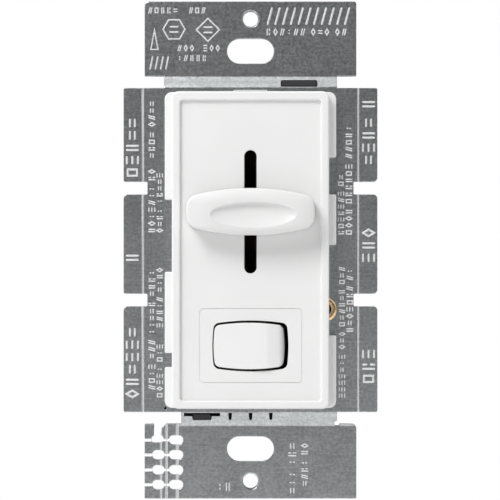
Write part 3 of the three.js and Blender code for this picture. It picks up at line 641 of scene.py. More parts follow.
# The knob's white is a darker copy of the bezel's: painted shade, standing in for less light from above on
# the knob.
KNOB_WHITE_PAINTED_SHADE = moulded_white("knob_white_painted_shade", 0.80)
HOUSING = spark_texture("housing_moulding", (0.022, 0.023, 0.026), (0.034, 0.035, 0.039))
BLACK = spark_texture("black_moulding", (0.012, 0.012, 0.013), (0.02, 0.02, 0.022))
PHENOLIC = spark_texture("brown_phenolic", (0.13, 0.062, 0.03), (0.19, 0.095, 0.048), (0.35, 0.5))
FELT = mottled("black_felt", (0.004, 0.004, 0.004), (0.016, 0.016, 0.017), 1500, (0.9, 1.0), 0.0, 0.8, 0.0001)
COPPER = mottled("rolled_copper", (0.90, 0.58, 0.30), (1.0, 0.78, 0.50), 700, (0.22, 0.32), 1.0)
BRASS = mottled("strip_brass", (0.62, 0.44, 0.18), (0.78, 0.60, 0.30), 700, (0.25, 0.4), 1.0)
TIN = mottled("tinned_copper", (0.52, 0.53, 0.55), (0.72, 0.73, 0.75), 800, (0.25, 0.42), 1.0)
STEEL = mottled("zinc_steel", (0.42, 0.44, 0.47), (0.62, 0.64, 0.67), 900, (0.28, 0.42), 1.0)
BOARD = laminate("phenolic_laminate")
FERRITE = mottled("sintered_ring", (0.045, 0.045, 0.047), (0.085, 0.085, 0.09), 1200, (0.6, 0.8), 0.0, 0.5)
CARD = mottled("pressed_card", (0.05, 0.055, 0.065), (0.10, 0.105, 0.12), 1300, (0.7, 0.9), 0.0, 0.5)
PAD = mottled("silicone_pad", (0.28, 0.30, 0.33), (0.36, 0.38, 0.41), 900, (0.5, 0.7), 0.0, 0.3)
YELLOW = mottled("film_case", (0.55, 0.38, 0.03), (0.66, 0.48, 0.06), 400, (0.28, 0.4))
BLUE = mottled("dipped_blue", (0.05, 0.15, 0.32), (0.08, 0.22, 0.42), 500, (0.22, 0.36))

# -------- mounting strap


def smooth_step(t):
    t = min(1.0, max(0.0, t))
    return t * t * (3 - 2 * t)


def bend_depth(z, x=0.0):
    """How far the sheet stands in front of its tabs. The lower bend runs further, except left of TAIL_X."""
    far = BEND_TOP + LOWER_BEND_RUN if z < 0 and x > TAIL_X else BEND_TOP
    return STEP * smooth_step((far - abs(z)) / (far - BEND_BOTTOM))


def fins(side, radii):
    """One side's three fins and the notches between them, from the top down."""
    edges = [WING_TOP] + [z for notch in NOTCHES for z in notch] + [-WING_TOP]
    corners = []
    for top, bottom, (above, below) in zip(edges[0::2], edges[1::2], radii):
        corners += [(side * NOTCH_INNER, top, 0.3), (side * WING_WIDTH, top, above),
                    (side * WING_WIDTH, bottom, below), (side * NOTCH_INNER, bottom, 0.3)]
    return corners[1:-1]


def strap_outline():
    """The strap's edge, clockwise from the top tab's left end."""
    soft, tight = 0.85, 0.35
    corners = [
        (-NECK, TAB_EDGE, 0.0), (-TAB_WIDTH, TAB_EDGE, 0.2),
        (-TAB_WIDTH, STRAP_TOP, 1.1), (TAB_WIDTH, STRAP_TOP, 0.55),
        (TAB_WIDTH, TAB_EDGE, 0.2), (NECK, TAB_EDGE, 0.0), (NECK, WING_TOP, 0.0),
    ]
    corners += fins(1, [(tight, soft), (soft, soft), (soft, tight)])
    corners += [
        (NECK, -WING_TOP, 0.0), (NECK, -35.7, 0.22), (NECK - 0.55, -35.95, 0.2), (NECK - 0.55, -36.75, 0.3),
        (NECK + 0.45, -36.75, 0.2), (NECK + 0.45, -TAB_EDGE, 0.18), (TAB_WIDTH, -TAB_EDGE, 1.0),
        (TAB_WIDTH, -STRAP_TOP, 0.2), (-TAB_WIDTH, -STRAP_TOP, 0.2), (-TAB_WIDTH, -TAB_EDGE, 0.2),
        (-20.2, -TAB_EDGE, 0.2), (-20.2, -38.85, 0.2), (-20.75, -39.3, 0.4), (-20.75, -40.3, 0.45),
        (-18.25, -40.3, 0.6), (-18.25, -39.1, 0.5), (-18.85, -38.75, 0.2), (-18.6, -TAB_EDGE - 0.9, 0.5),
        (-17.7, -TAB_EDGE, 0.3),
        (LOWER_NECK_LEFT, -TAB_EDGE, 0.0), (LOWER_NECK_LEFT, -WING_TOP, 0.0),
    ]
    corners += fins(-1, [(tight, tight), (soft, tight), (soft, tight)])[::-1]
    corners.append((-NECK, WING_TOP, 0.0))
    return rounded(corners, 5)


KNOCK_ROWS = (-39.8, -42.9, -46.05, -49.15)
KNOCK_COLUMNS = ((-19.3, 1.3), (-15.6, 1.5))  # X and half length of each slot
KNOCK_HALF_WIDTH = 0.96
UPPER_WINDOW = (6.4, 13.95, 34.15, 35.5)  # left, right, low and high edges
LEVER_GAP, ROCKER_GAP = (2.6, 15.4), (8.6, 8.3)  # half sizes


def strap_holes():
    """Screw holes, knock-off slots, the eyelet's hole, cuts in the bends and gaps for the controls."""
    holes = []
    for side in (1, -1):
        holes.append(oblong(0, side * BOX_SCREW_Z, *BOX_SLOT))
        holes.append(circle(0, side * PLATE_SCREW_Z, PLATE_HOLE, 40))
    for row, z in enumerate(KNOCK_ROWS):
        for column, (x, half) in enumerate(KNOCK_COLUMNS):
            if row or column:  # the first slot of the first row is open to the notch above it
                holes.append(oblong(x, z, half, KNOCK_HALF_WIDTH, steps=8))
    holes.append(circle(*EYELET, EYELET_HOLE, 32))
    holes.append(rectangle(*UPPER_WINDOW, 0.25, 4))
    low, shelf, high = -35.52, -34.72, -34.08
    stepped = [(-14.1, high), (-6.35, high), (-6.35, shelf), (-8.2, shelf), (-8.2, low), (-12.1, low),
               (-12.1, shelf), (-14.1, shelf)]
    holes.append(rounded([(x, z, 0.2) for x, z in stepped], 3))
    wide, narrow, top, bottom = 0.38, 0.24, -34.05, -35.5
    for x in (-4.25, 0.02, 4.25):
        wedge = [(x - wide, top), (x + wide, top), (x + narrow, bottom), (x - narrow, bottom)]
        holes.append(rounded([(a, b, 0.15) for a, b in wedge], 3))
    holes.append(rounded([(-18.2, -33.35, 0.1), (-17.55, -33.35, 0.1), (-17.6, -32.4, 0.1)], 3))
    for (half_width, half_height), z in ((LEVER_GAP, SLOT_Z), (ROCKER_GAP, ROCKER_Z)):
        holes.append(rectangle(-half_width, half_width, z - half_height, z + half_height, 0.4, 3))
    return holes


def ridge(place, front, low, high, half_width, depth, upright=True):
    """A V-shaped prism that cuts a score line in the sheet's front, upright or level."""
    over = 0.25
    half = half_width * (1 + over / depth)
    section = [(-half, front - over), (half, front - over), (0.0, front + depth)]
    if upright:
        rings = [[(place + aside, y, end) for aside, y in section] for end in (low, high)]
    else:
        rings = [[(end, y, place + aside) for aside, y in section] for end in (low, high)]
    tool = stack("score_tool", rings)
    # The score's faces take the near-white metal: painted highlight along the line.
    tool.data.materials.append(SCORE_PAINTED_GLINT)
    return tool


FIN_SCORES = ((-SCORE_X, 0.3, 0.17), (SCORE_X, 0.2, 0.12))  # X, half width, depth
KNOCK_SCORES = ((-15.35, 0.32), (-17.6, 0.28), (-18.75, 0.24))  # X, half width
ROW_SCORE, ROW_SCORE_END = (0.3, 0.18), -16.6


def mounting_strap():
    """The formed sheet: its middle stands a step in front of the end tabs, and score lines part the fins."""
    bm = slab_bmesh(strap_outline(), strap_holes(), TAB_FRONT, TAB_REAR, 0.16, 0.1, 3)
    steps = 14
    for side in (1, -1):
        heights = [side * (BEND_BOTTOM + (BEND_TOP - BEND_BOTTOM) * i / steps) for i in range(steps + 1)]
        cut_across(bm, heights)
    cut_across(bm, [-BEND_TOP - LOWER_BEND_RUN / 4 * i for i in range(1, 5)])
    cut_across(bm, [TAIL_X - 0.05, TAIL_X + 0.4], 0)
    for vertex in bm.verts:
        vertex.co.y -= bend_depth(vertex.co.z, vertex.co.x)
    strap = from_bmesh("strap_sheet", bm)
    strap.data.materials.append(ALUMINIUM)
    for x, half, depth in FIN_SCORES:
        combine(strap, [ridge(x, PLATE_FRONT, -WING_TOP - 1, WING_TOP + 1, half, depth)])
    for x, half in KNOCK_SCORES:
        combine(strap, [ridge(x, TAB_FRONT, -STRAP_TOP - 1, -TAB_EDGE + 0.25, half, 0.6 * half)])
    for z in KNOCK_ROWS:
        combine(strap, [ridge(z, TAB_FRONT, -TAB_WIDTH - 1, ROW_SCORE_END, *ROW_SCORE, upright=False)])
    return settle(strap, "frame", [ALUMINIUM, SCORE_PAINTED_GLINT], ["mounting_strap"], 30)


def tapped_collar(name, z):
    """The extruded collar behind a wall-plate screw hole, with a few turns of thread inside."""
    root, crest, pitch = 1.8, 1.56, 0.79
    front, rear = TAB_FRONT + 0.12, 1.25
    around, along = 48, 26
    bm = bmesh.new()
    rings = []
    for k in range(along + 1):
        depth = front + (rear - front) * k / along
        ring = []
        for i in range(around):
            angle = 2 * math.pi * i / around
            phase = depth / pitch - i / around
            wave = abs((phase % 1.0) - 0.5) * 2
            radius = root if k in (0, along) else crest + (root - crest) * wave
            ring.append(bm.verts.new((radius * math.cos(angle), depth, z + radius * math.sin(angle))))
        rings.append(ring)
    outside = [(1.95, rear + 0.05), (2.3, rear + 0.03), (2.42, rear - 0.12), (2.5, 0.35), (2.75, 0.12),
               (3.1, 0.03), (3.1, -0.3), (1.9, -0.3), (1.86, front + 0.2)]
    for radius, depth in outside:
        rings.append([bm.verts.new((p.x, depth, p.y)) for p in circle(0, z, radius, around)])
    for one, two in zip(rings, rings[1:] + rings[:1]):
        bridge(bm, one, two)
    bmesh.ops.recalc_face_normals(bm, faces=bm.faces)
    collar = from_bmesh(name, bm)
    return settle(collar, "frame", ALUMINIUM, (), 50)


# -------- stamped marks


def surface_front(z):
    return TAB_FRONT - bend_depth(z)


def raise_mark(bm, outline, width, holes=()):
    """A raised mark on the sheet, its sides sloping to a narrow top. Width is that of its strokes."""
    front, buried = surface_front(sum(p.y for p in outline) / len(outline)), 0.05
    slopes = [(0.36, 0.3), (0.25, 0.27), (0.0, 0.0)]  # drawn in and raised, in stroke widths
    levels = [(drawn * width, front - raised * width) for drawn, raised in slopes]
    add_slab(bm, outline, list(holes), levels + [(0.0, front + buried)])


def stroke(a, b, width):
    """The outline of one straight stroke with round ends."""
    a, b = Vector(a), Vector(b)
    heading = math.degrees(math.atan2(b.y - a.y, b.x - a.x))
    ahead = arc(*b, width / 2, heading - 90, heading + 90, 3)
    return ahead + arc(*a, width / 2, heading + 90, heading + 270, 3)


def ring(points, width):
    """The outline and the hole of a closed ring of strokes."""
    loop = turned_way([Vector(p) for p in points], True)
    return inset(loop, -width / 2), inset(loop, width / 2)


# Plain signs in a unit cell: straight strokes, or a closed ring of corners. None of them is a letter.
SIGNS = [
    {"strokes": [((0.12, 0), (0.12, 1)), ((0.62, 0), (0.62, 1))]},
    {"strokes": [((0, 0.28), (0.8, 0.28)), ((0, 0.72), (0.8, 0.72))]},
    {"ring": [(0, 0.08), (0.74, 0.08), (0.74, 0.92), (0, 0.92)]},
    {"ring": [(0.4, 0), (0.8, 0.5), (0.4, 1), (0, 0.5)]},
    {"strokes": [((0.1, 0), (0.1, 1)), ((0.6, 0), (0.6, 0.3)), ((0.6, 0.7), (0.6, 1))]},
    {"strokes": [((0, 0), (0.34, 1)), ((0.46, 0), (0.8, 1))]},
    {"strokes": [((0, 0), (0.76, 0)), ((0, 0.5), (0.76, 0.5)), ((0, 1), (0.76, 1))]},
    {"strokes": [((0.4, 0.2), (0.4, 0.32)), ((0.4, 0.68), (0.4, 0.8))]},
]


def raise_ring(bm, points, width):
    outer, inner = ring(points, width)
    raise_mark(bm, outer, width, [inner])


def raise_stroke(bm, a, b, width):
    raise_mark(bm, stroke(a, b, width), width)


def mark_line(bm, rng, origin, heading, length, height, width):
    """A row of plain signs in groups, from an origin along a heading in degrees. It spells nothing."""
    along = Vector((math.cos(math.radians(heading)), math.sin(math.radians(heading))))
    up = Vector((-along.y, along.x))
    cell = height * 0.8

    def place(u, v):
        ahead = travelled + width / 2 + u * (cell - width)
        return Vector(origin) + along * ahead + up * (width / 2 + v * (height - width))

    travelled = 0.0
    while travelled + cell <= length + 0.01:
        for _ in range(rng.randint(3, 7)):
            if travelled + cell > length + 0.01:
                break
            sign = rng.choice(SIGNS)
            for a, b in sign.get("strokes", ()):
                raise_stroke(bm, place(*a), place(*b), width)
            if "ring" in sign:
                raise_ring(bm, [place(*p) for p in sign["ring"]], width)
            travelled += cell + width * 0.9
        travelled += height * 0.5


UPRIGHT_MARKS = [  # right-hand X of the row, lowest Z, length, height, stroke width
    (-23.3, 15.3, 16.2, 2.75, 0.42), (-23.3, -2.5, 4.0, 2.75, 0.42), (-23.3, -31.0, 16.6, 2.75, 0.42),
    (26.05, 17.9, 14.8, 2.75, 0.42), (26.05, -2.5, 7.7, 2.75, 0.42), (26.05, -27.8, 10.0, 2.75, 0.42),
    (-19.85, 19.2, 12.6, 1.5, 0.27), (-19.85, 3.6, 14.6, 1.5, 0.27), (-18.25, 3.6, 14.2, 1.4, 0.26),
    (-19.85, -29.2, 26.2, 1.5, 0.27), (-18.25, -16.2, 13.0, 1.4, 0.26), (-18.25, -30.8, 12.8, 1.4, 0.26),
    (19.6, 3.2, 12.9, 1.4, 0.26), (21.3, 3.2, 24.2, 1.5, 0.27),
    (19.8, -30.9, 28.0, 1.4, 0.26), (21.5, -17.2, 13.8, 1.5, 0.27),
    (9.65, -51.0, 12.4, 1.8, 0.28), (12.1, -49.4, 9.6, 1.5, 0.26),
]
LEVEL_MARKS = [  # left X of the row, low Z, length, height, stroke width
    (-21.4, 49.5, 6.9, 1.35, 0.25), (-12.9, 49.5, 4.4, 1.35, 0.25),
    (-15.3, 41.6, 4.2, 1.35, 0.25), (-9.9, 41.6, 4.2, 1.35, 0.25), (-15.3, 39.5, 6.6, 1.35, 0.25),
    (3.3, 44.9, 18.0, 1.5, 0.26), (-7.0, -50.5, 4.4, 1.8, 0.28),
]


ARROW = [(-20.85, 42.0), (-19.35, 42.0), (-20.1, 46.0)]
BADGES = [(-16.0, 46.2, 2.3, 6), (-8.9, 46.1, 2.4, 4)]  # X, Z, radius, corners
# Rows of leaning bars: count, first foot, pitch, low Z, high Z, lean, stroke width.
BAR_ROWS = [(11, 3.6, 1.62, 47.3, 50.6, 0.9, 0.42), (4, -21.0, 1.1, 37.9, 40.4, 0.5, 0.34)]


def badge(bm, x, z, radius, corner_count):
    """A plain frame round two level bars."""
    half_length, half_gap, width = 0.8, 0.55, 0.34
    raise_ring(bm, circle(x, z, radius, corner_count), 0.3)
    for way in (-half_gap, half_gap):
        raise_stroke(bm, (x - half_length, z + way), (x + half_length, z + way), width)


def stamped_marks():
    """Rows of signs, badges and bars where the sheet is stamped. None of them is lettering."""
    rng = random.Random(7)
    bm = bmesh.new()
    for right, low, length, height, width in UPRIGHT_MARKS:
        mark_line(bm, rng, (right, low), 90, length, height, width)
    for left, low, length, height, width in LEVEL_MARKS:
        mark_line(bm, rng, (left, low), 0, length, height, width)
    raise_ring(bm, ARROW, 0.26)
    for x, z, radius, corner_count in BADGES:
        badge(bm, x, z, radius, corner_count)
    for count, first, pitch, low, high, lean, width in BAR_ROWS:
        for i in range(count):
            foot = first + i * pitch
            raise_stroke(bm, (foot, low), (foot + lean, high), width)
    marks = from_bmesh("stamped_marks", bm)
    # The marks are near-white: painted highlight on their raised strokes.
    return settle(marks, "frame", STAMP_PAINTED_GLINT, (), 25)


# -------- face bezel

LEFT_NOTCHES = ((10.45, -4.55), (-21.5, -24.4))
RIGHT_NOTCHES = ((19.3, 11.6), (1.07, -17.8))
PANEL = (15.4, 32.0)
GROOVE = (-10.67, 10.82, -27.67, -12.08)  # left, right, low and high edges round the rocker
GROOVE_WIDTH, GROOVE_DEPTH, GROOVE_CORNER = 0.22, 0.15, 0.95
OPENING_HALF = (7.9, 5.28)


def flange_outline():
    """The flange's edge, down its left side and up its right, with notches in both."""
    width, height = FLANGE
    deep, corner, lip = RIM[0] - 0.6, 1.5, 0.35
    sides = []
    for side, notches in ((-1, LEFT_NOTCHES), (1, RIGHT_NOTCHES)):
        points = [(width, height, corner)]
        for top, bottom in notches:
            points += [(width, top, lip), (deep, top, 0.0), (deep, bottom, 0.0), (width, bottom, lip)]
        points.append((width, -height, corner))
        sides.append([(side * x, z, radius) for x, z, radius in points])
    return rounded(sides[0] + sides[1][::-1], 6)


def rocker_opening():
    return [p + Vector((0, ROCKER_Z)) for p in bowed(*OPENING_HALF, 0.9, 0.35, 0.62)]


def groove_tool():
    """What cuts the witness groove round the rocker: a thin frame through the panel's face."""
    left, right, low, high = GROOVE
    width = GROOVE_WIDTH
    hole = rectangle(left + width, right - width, low + width, high - width, GROOVE_CORNER - width, 6)
    return slab("line_tool", rectangle(*GROOVE, GROOVE_CORNER, 6), [hole], PANEL_FRONT - 0.3,
                PANEL_FRONT + GROOVE_DEPTH)


def face_bezel():
    """Rim, flange, recessed panel and the small latch lip on the top edge, joined as one moulding."""
    window = rectangle(-14.6, 14.65, -31.3, 31.15, 0.65, 8)
    rim = slab("bezel_moulding", rectangle(-RIM[0], RIM[0], -RIM[1], RIM[1], 1.4, 10), [window],
               RIM_FRONT, BEZEL_REAR, 0.42, 0.05, 5)
    flange = slab("flange", flange_outline(), [rectangle(-14.9, 14.9, -31.5, 31.5)],
                  FLANGE_FRONT, BEZEL_REAR + 0.02, 0.3, 0.05, 4)
    holes = [oblong(0, SLOT_Z, SLOT_HALF, SLOT_WIDTH, True, 16), rocker_opening()]
    panel = slab("panel", rectangle(-PANEL[0], PANEL[0], -PANEL[1], PANEL[1]), holes,
                 PANEL_FRONT, PANEL_REAR, 0.16, 0.05, 3)
    combine(panel, [groove_tool()])
    lip = slab("lip", rectangle(-3.5, 3.5, 32.5, 33.42, 0.12, 3), [rectangle(-3.3, 3.3, 33.0, 33.24)],
               -3.75, BEZEL_REAR - 0.03, 0.05, 0.0, 2)
    combine(flange, [lip], "UNION")
    combine(rim, [flange, panel], "UNION")
    return settle(rim, "frame", WHITE, ["face_bezel"], 33)


# -------- slide knob


KNOB_HALF = (13.42, 4.93)
DISH_HALF = (8.92, 2.64)
DISH_X, DISH_Z, DISH_DEPTH = 0.58, -0.66, 1.7
DISH_FRONT = KNOB_CREST + SPARE
DISH_SHARES = (0.975, 0.95, 0.91, 0.85, 0.77, 0.67, 0.54, 0.4, 0.25, 0.1)


def knob_ring(outline, share, shrink, depth):
    """The outline drawn in by an amount and moved by a share of the way to the dish's edge."""
    points = []
    for p in outline:
        angle = math.atan2(p.y / KNOB_HALF[1], p.x / KNOB_HALF[0])
        edge = Vector((DISH_X + DISH_HALF[0] * math.cos(angle), DISH_Z + DISH_HALF[1] * math.sin(angle)))
        x, z = (p * (1 - shrink / p.length)).lerp(edge, share)
        points.append((x, depth, SLOT_Z + z))
    return points


def dish_ring(outline, share, drop):
    """The dish's edge scaled by a share and sunk by a depth, most at its top and least at its bottom."""
    points = []
    for x, _, z in knob_ring(outline, 1, 0, 0):
        aside, up = (x - DISH_X) * share, (z - SLOT_Z - DISH_Z) * share
        sunk = drop * (0.56 + 0.44 * up / DISH_HALF[1])
        points.append((DISH_X + aside, DISH_FRONT + sunk, SLOT_Z + DISH_Z + up))
    return points


def slide_knob():
    """A bar with bowed long sides, a softly crowned top and an elliptical dish, deepest at its top."""
    outline = bowed(*KNOB_HALF, 1.35, 0.6, 1.8, 40)
    skirt = [(0.2, 0.0), (0.05, 0.06), (0.0, 0.22), (0.06, 2.4)]  # drawn in, and in front of the rear
    rings = [knob_ring(outline, 0, shrink, KNOB_REAR - ahead) for shrink, ahead in skirt]
    shoulder, shoulder_steps, shoulder_turn, draft = 0.62, 6, 0.86 * math.pi / 2, 0.12
    top = KNOB_CREST + 0.68
    for i in range(shoulder_steps + 1):
        angle = shoulder_turn * i / shoulder_steps
        shrink, drop = shoulder * (1 - math.cos(angle)), shoulder * (1 - math.sin(angle))
        rings.append(knob_ring(outline, 0, draft + shrink, top + drop))
    crown_steps = 9
    inner = shoulder * (1 - math.cos(shoulder_turn)) + draft
    for i in range(1, crown_steps):
        share = i / crown_steps
        depth = top + (DISH_FRONT - top) * math.sin(share * math.pi / 2)
        rings.append(knob_ring(outline, share, inner * (1 - share), depth))
    rings += [dish_ring(outline, share, drop) for share, drop in ((1.004, 0.0), (0.996, 0.12))]
    for share in DISH_SHARES:
        rings.append(dish_ring(outline, share, DISH_DEPTH * math.sqrt(1 - share ** 2.8)))
    knob = stack("knob_shell", rings)
    # Darker white than the bezel: painted shade.
    return settle(knob, "slider", KNOB_WHITE_PAINTED_SHADE, ["slider_knob"], 30)


# -------- rocker


ROCKER_HALF = (7.42, 4.82)
ROCKER_RIGHT_SHARE = 0.965  # how much of its half width the rocker has on the right
ROCKER_FRONT, ROCKER_REAR = -3.56, 0.5  # from its pivot, as are all depths here
ROCKER_TILT = math.radians(-5)
CREST_X, NOSE_X = 3.6, 6.1
STEM = [(0, 0.3), (2.5, 0.3), (2.3, 7.0), (2.1, 7.2), (1.5, 7.2), (1.5, 1.4), (0, 1.4)]
PIN_RADIUS, PIN_ENDS = 0.75, (-7.6, -7.4, 7.4, 7.6)


def rocker_face(x):
    """How far the rocker's face falls back at X: more and more right of its crest, and fast at its nose."""
    slope = max(0.0, x - CREST_X)
    nose = max(0.0, x - NOSE_X)
    return 0.24 * slope + 0.04 * slope * slope + 1.3 * nose * nose


def rocker_pins():
    """The two pivot pins as one rod along Z, through the rocker's middle. They get a black finish below,
    painted shade for the dark gap round the rocker.
    """
    rings = [[(p.x, p.y, z) for p in circle(0, 0, PIN_RADIUS, 24)] for z in PIN_ENDS]
    return stack("pins", rings)


def rocker_cap():
    outline = bowed(*ROCKER_HALF, 0.85, 0.34, 0.58, 24)
    outline = [Vector((p.x * ROCKER_RIGHT_SHARE if p.x > 0 else p.x, p.y)) for p in outline]
    bm = slab_bmesh(outline, [], ROCKER_FRONT, ROCKER_REAR, 0.24, 0.0, 4)
    slope_cuts = [CREST_X + 0.5 * i for i in range(6)]
    nose_cuts = [NOSE_X + 0.2 + 0.12 * i for i in range(9)]
    cut_across(bm, slope_cuts + nose_cuts, 0)
    for vertex in bm.verts:
        if vertex.co.y < (ROCKER_FRONT + ROCKER_REAR) / 2:
            vertex.co.y += rocker_face(vertex.co.x)
    rocker = from_bmesh("rocker_cap", bm)
    # The pins are black so the gap round the rocker shows dark where they lie behind it: painted shade.
    parts = {rocker: WHITE, lathe("stem", STEM, (0, 0), 40): WHITE, rocker_pins(): BLACK}
    place = Matrix.Translation((0, ROCKER_PIVOT_Y, ROCKER_Z)) @ Matrix.Rotation(ROCKER_TILT, 4, "Z")
    for part, finish in parts.items():
        part.data.transform(place)
        part.data.materials.append(finish)
    combine(rocker, list(parts)[1:], "UNION")
    return settle(rocker, "rocker", [WHITE, BLACK], ["rocker"], 42)


# -------- eyelet


def ground_eyelet():
    """A rolled eyelet: bore, flared lip in front of the sheet, and the curl that holds it behind."""
    front, rear_face = PLATE_FRONT - 0.05, -0.25
    bore, shank, lip = 1.3, 1.65, 2.62
    roll = [(bore + 0.03, front - 0.15), (bore + 0.16, front - 0.42), (bore + 0.4, front - 0.58),
            (1.98, front - 0.6), (lip - 0.25, front - 0.46), (lip - 0.08, front - 0.28), (lip, front - 0.12),
            (lip - 0.05, front)]
    curl = [(1.9, rear_face + 0.03), (2.0, -0.08), (1.95, 0.08), (1.7, 0.2), (1.45, 0.18)]
    profile = [(bore, 0.0), (bore, front + 0.2)] + roll + [(shank, front), (shank, rear_face)] + curl
    eyelet = lathe("ground_eyelet_rolled", profile, EYELET, 72, closed=True)
    return settle(eyelet, "frame", COPPER, ["ground_eyelet"], 60)


# -------- back housing


EXIT_Z = -23.5
LABEL_RECESS = (-15.5, 15.5, -14.5, 24.5)
LIPS = [(-17.5, 17.5, 33.0, 35.98), (-14.0, 17.5, -35.98, -33.0)]
HOOKS = [(6.52, 13.83, 34.27, 35.38), (-11.95, -8.35, -35.4, -34.3)]
DIMPLE = [(0, 29.9), (1.0, 29.85), (1.15, 30.1), (1.15, 31.2), (0, 31.2)]
DIMPLES = [(x, z) for x in (-17.6, 17.6) for z in (-29.4, 28.8)]


def back_housing():
    """A hollow tub with a label recess, a lead exit with its collar, end lips and hooks, and four dimples."""
    half_width, half_height = HOUSING_HALF
    body = slab("housing_shell", rectangle(-half_width, half_width, -half_height, half_height, 2.6, 10), [],
                HOUSING_FRONT, HOUSING_REAR, 0.12, 1.3, 7, draft=0.28)
    hollow = slab("hollow", rectangle(-19.7, 19.7, -31.8, 31.8, 1.3, 5), [],
                  HOUSING_FRONT - 1, HOUSING_REAR - 1.5)
    label = slab("label_recess", rectangle(*LABEL_RECESS, 1.2, 6), [], HOUSING_REAR - 0.35, HOUSING_REAR + 1)
    collar = slab("collar", oblong(0, EXIT_Z, 13.9, 3.8, steps=20), [],
                  HOUSING_REAR - 1.2, HOUSING_REAR + EXIT_LIP - SPARE, 0, 0.4, 4)
    mouth = slab("mouth", oblong(0, EXIT_Z, 12.5, 2.4, steps=20), [], HOUSING_REAR - 4, HOUSING_REAR + 3)
    lips = [slab("lip", rectangle(*sides, 0.3, 3), [], 0.38, 2.38, 0.1, 0.1, 2) for sides in LIPS]
    hooks = [slab("hook", rectangle(*sides, 0.1, 2), [], -2.6, 0.6, 0.1, 0, 2) for sides in HOOKS]
    combine(body, [collar], "UNION")
    combine(body, [hollow, label, mouth])
    combine(body, lips + hooks, "UNION")
    combine(body, [lathe("dimple", DIMPLE, place, 28) for place in DIMPLES])
    return settle(body, "frame", HOUSING, ["back_housing"], 32)


# -------- carried-over CAD nodes


INNER_FINISHES = [  # finish, width of the rounded edges, nodes
    (FELT, 0.0, ["dust_gasket"]),
    (BLACK, 0.15, ["slide_lever", "slide_pot_housing", "triac_case"]),
    (BRASS, 0.0, ["wiper_contact", "rocker_plunger", "common_terminal", "load_terminal"]),
    (PHENOLIC, 0.0, ["slide_pot_element"]),
    (PHENOLIC, 0.15, ["switch_base"]),
    (STEEL, 0.0, ["plunger_spring"]),
    (STEEL, 0.1, [f"housing_screw_{i}" for i in range(1, 5)]),
    (COPPER, 0.0, ["contact_lever", "triac_eyelet"]),
    (TIN, 0.0, ["ground_lug"] + [f"triac_lead_{i}" for i in range(1, 4)]),
    (TIN, 0.1, ["triac_tab"]),
    (CARD, 0.0, ["insulating_barrier"]),
    (PAD, 0.0, ["triac_pad"]),
    (BOARD, 0.0, ["circuit_board"]),
    (FERRITE, 0.2, ["choke_core"]),
    (YELLOW, 0.25, ["filter_capacitor"]),
    (BLUE, 0.25, ["timing_capacitor"]),
]
BROWN_BAND, BLACK_BAND, ORANGE_BAND = (0.3, 0.12, 0.04), (0.02, 0.02, 0.02), (0.8, 0.3, 0.02)
YELLOW_BAND, VIOLET_BAND, RED_BAND = (0.7, 0.55, 0.05), (0.2, 0.03, 0.3), (0.5, 0.02, 0.02)
GOLD_BAND = (0.6, 0.4, 0.1)
BAND_PLACES = (-2.0, -1.0, 0.0, 1.6)
RESISTOR_BANDS = [
    (BROWN_BAND, BLACK_BAND, ORANGE_BAND, GOLD_BAND),
    (YELLOW_BAND, VIOLET_BAND, RED_BAND, GOLD_BAND),
]


def refinish(node, finish, edge=0.0):
    """Gives a CAD node its own finish, and rounds its edges where it has thickness to spare."""
    piece = NODES[node]
    piece.data.materials.clear()
    piece.data.materials.append(finish)
    if edge:
        modifier = piece.modifiers.new("edge", "BEVEL")
        modifier.width = edge * MM
        modifier.segments = 2
        modifier.limit_method = "ANGLE"
        modifier.angle_limit = math.radians(50)


def inner_parts():
    for finish, edge, nodes in INNER_FINISHES:
        for node in nodes:
            refinish(node, finish, edge)
    refinish("choke_winding", wound_wire("enamelled_winding", centre_of("choke_core")))
    refinish("diac", banded("diac_body", "diac", (0.09, 0.2, 0.36), [(0.9, BLACK_BAND)]))
    for i, colours in enumerate(RESISTOR_BANDS, 1):
        node = f"resistor_{i}"
        bands = list(zip(BAND_PLACES, colours))
        refinish(node, banded(f"resistor_body_{i}", node, (0.6, 0.45, 0.27), bands))


# -------- camera, light and floor


def aim(thing, place, target):
    thing.location = place
    thing.rotation_mode = "QUATERNION"
    thing.rotation_quaternion = (Vector(target) - Vector(place)).to_track_quat("-Z", "Y")


def camera():
    """Straight on from the front, far enough away that the view is nearly flat."""
    distance, span, aside = 0.70, 0.1047, -0.0001
    data = bpy.data.cameras.new("camera")
    made = new_object("camera", data)
    data.sensor_width = 36
    data.lens = data.sensor_width * distance / span
    data.clip_start, data.clip_end = 0.01, 20
    made.location = (aside, TAB_FRONT * MM - distance, 0)
    made.rotation_euler = (math.pi / 2, 0, 0)
    bpy.context.scene.camera = made


def key_light():
    """A soft round light in front, above and a little left."""
    data = bpy.data.lights.new("key", "AREA")
    data.shape = "DISK"
    data.size = 0.42
    data.energy = 4.35
    aim(new_object("key", data), (-0.36, -0.6, 0.56), (0, 0, 0))


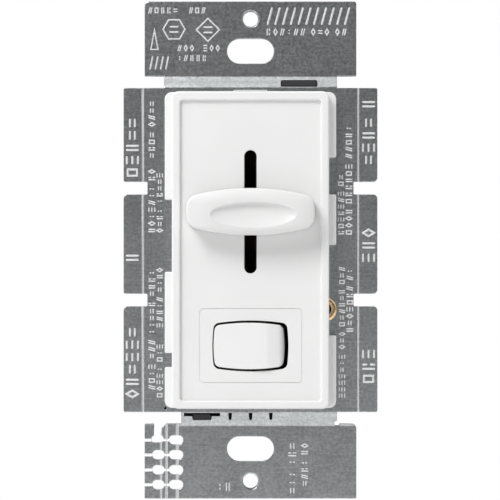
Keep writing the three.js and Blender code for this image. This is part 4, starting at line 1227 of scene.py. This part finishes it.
def world():
    """White to the eye. As light it is bright above, less so to the right, and dim behind the viewer."""
    made = bpy.data.worlds.new("studio")
    bpy.context.scene.world = made
    made.use_nodes = True
    made.node_tree.nodes.clear()
    nodes = Nodes(made.node_tree)
    parts = nodes.node("ShaderNodeSeparateXYZ")
    nodes.link(nodes.node("ShaderNodeTexCoord").outputs["Generated"], parts.inputs["Vector"])

    def along(axis, start, end, low, high):
        """A strength that goes smoothly from low to high as a direction's axis goes from start to end."""
        return nodes.spread(parts.outputs[axis], start, end, low, high, interpolation_type="SMOOTHSTEP")

    seen, lit = nodes.node("ShaderNodeBackground"), nodes.node("ShaderNodeBackground")
    seen.inputs["Color"].default_value = (1, 1, 1, 1)
    seen.inputs["Strength"].default_value = 1.0
    height = along("Z", -0.7, 0.8, 0.12, 1.05)
    side = along("X", -1.0, 1.0, 1.12, 0.78)
    ahead = along("Y", -0.86, -0.42, 0.035, 1.42)
    strength = nodes.maths("MULTIPLY", ahead, nodes.maths("MULTIPLY", height, side))
    nodes.link(strength, lit.inputs["Strength"])
    path, choose = nodes.node("ShaderNodeLightPath"), nodes.node("ShaderNodeMixShader")
    nodes.link(path.outputs["Is Camera Ray"], choose.inputs["Fac"])
    nodes.link(lit.outputs["Background"], choose.inputs[1])
    nodes.link(seen.outputs["Background"], choose.inputs[2])
    nodes.link(choose.outputs["Shader"], nodes.node("ShaderNodeOutputWorld").inputs["Surface"])


def floor():
    height, radius = -0.3, 2.5
    bm = bmesh.new()
    bmesh.ops.create_circle(bm, cap_ends=True, segments=96, radius=radius)
    made = from_bmesh("floor", bm)
    made.location.z = height
    finish = Finish("pale_floor", (0.82, 0.82, 0.82), 0.8)
    finish.shader.inputs["Emission Color"].default_value = (1, 1, 1, 1)
    finish.shader.inputs["Emission Strength"].default_value = 0.08
    finish.rough(finish.spread(finish.noise(30), 0.3, 0.7, 0.7, 0.9))
    made.data.materials.append(finish.material)


camera()
world()
floor()
key_light()

mounting_strap()
tapped_collar("upper_screw_collar", PLATE_SCREW_Z)
tapped_collar("lower_screw_collar", -PLATE_SCREW_Z)
stamped_marks()
face_bezel()
slide_knob()
rocker_cap()
ground_eyelet()
back_housing()
inner_parts()

bpy.context.scene.view_settings.view_transform = "Standard"
bpy.context.scene.view_settings.look = "None"
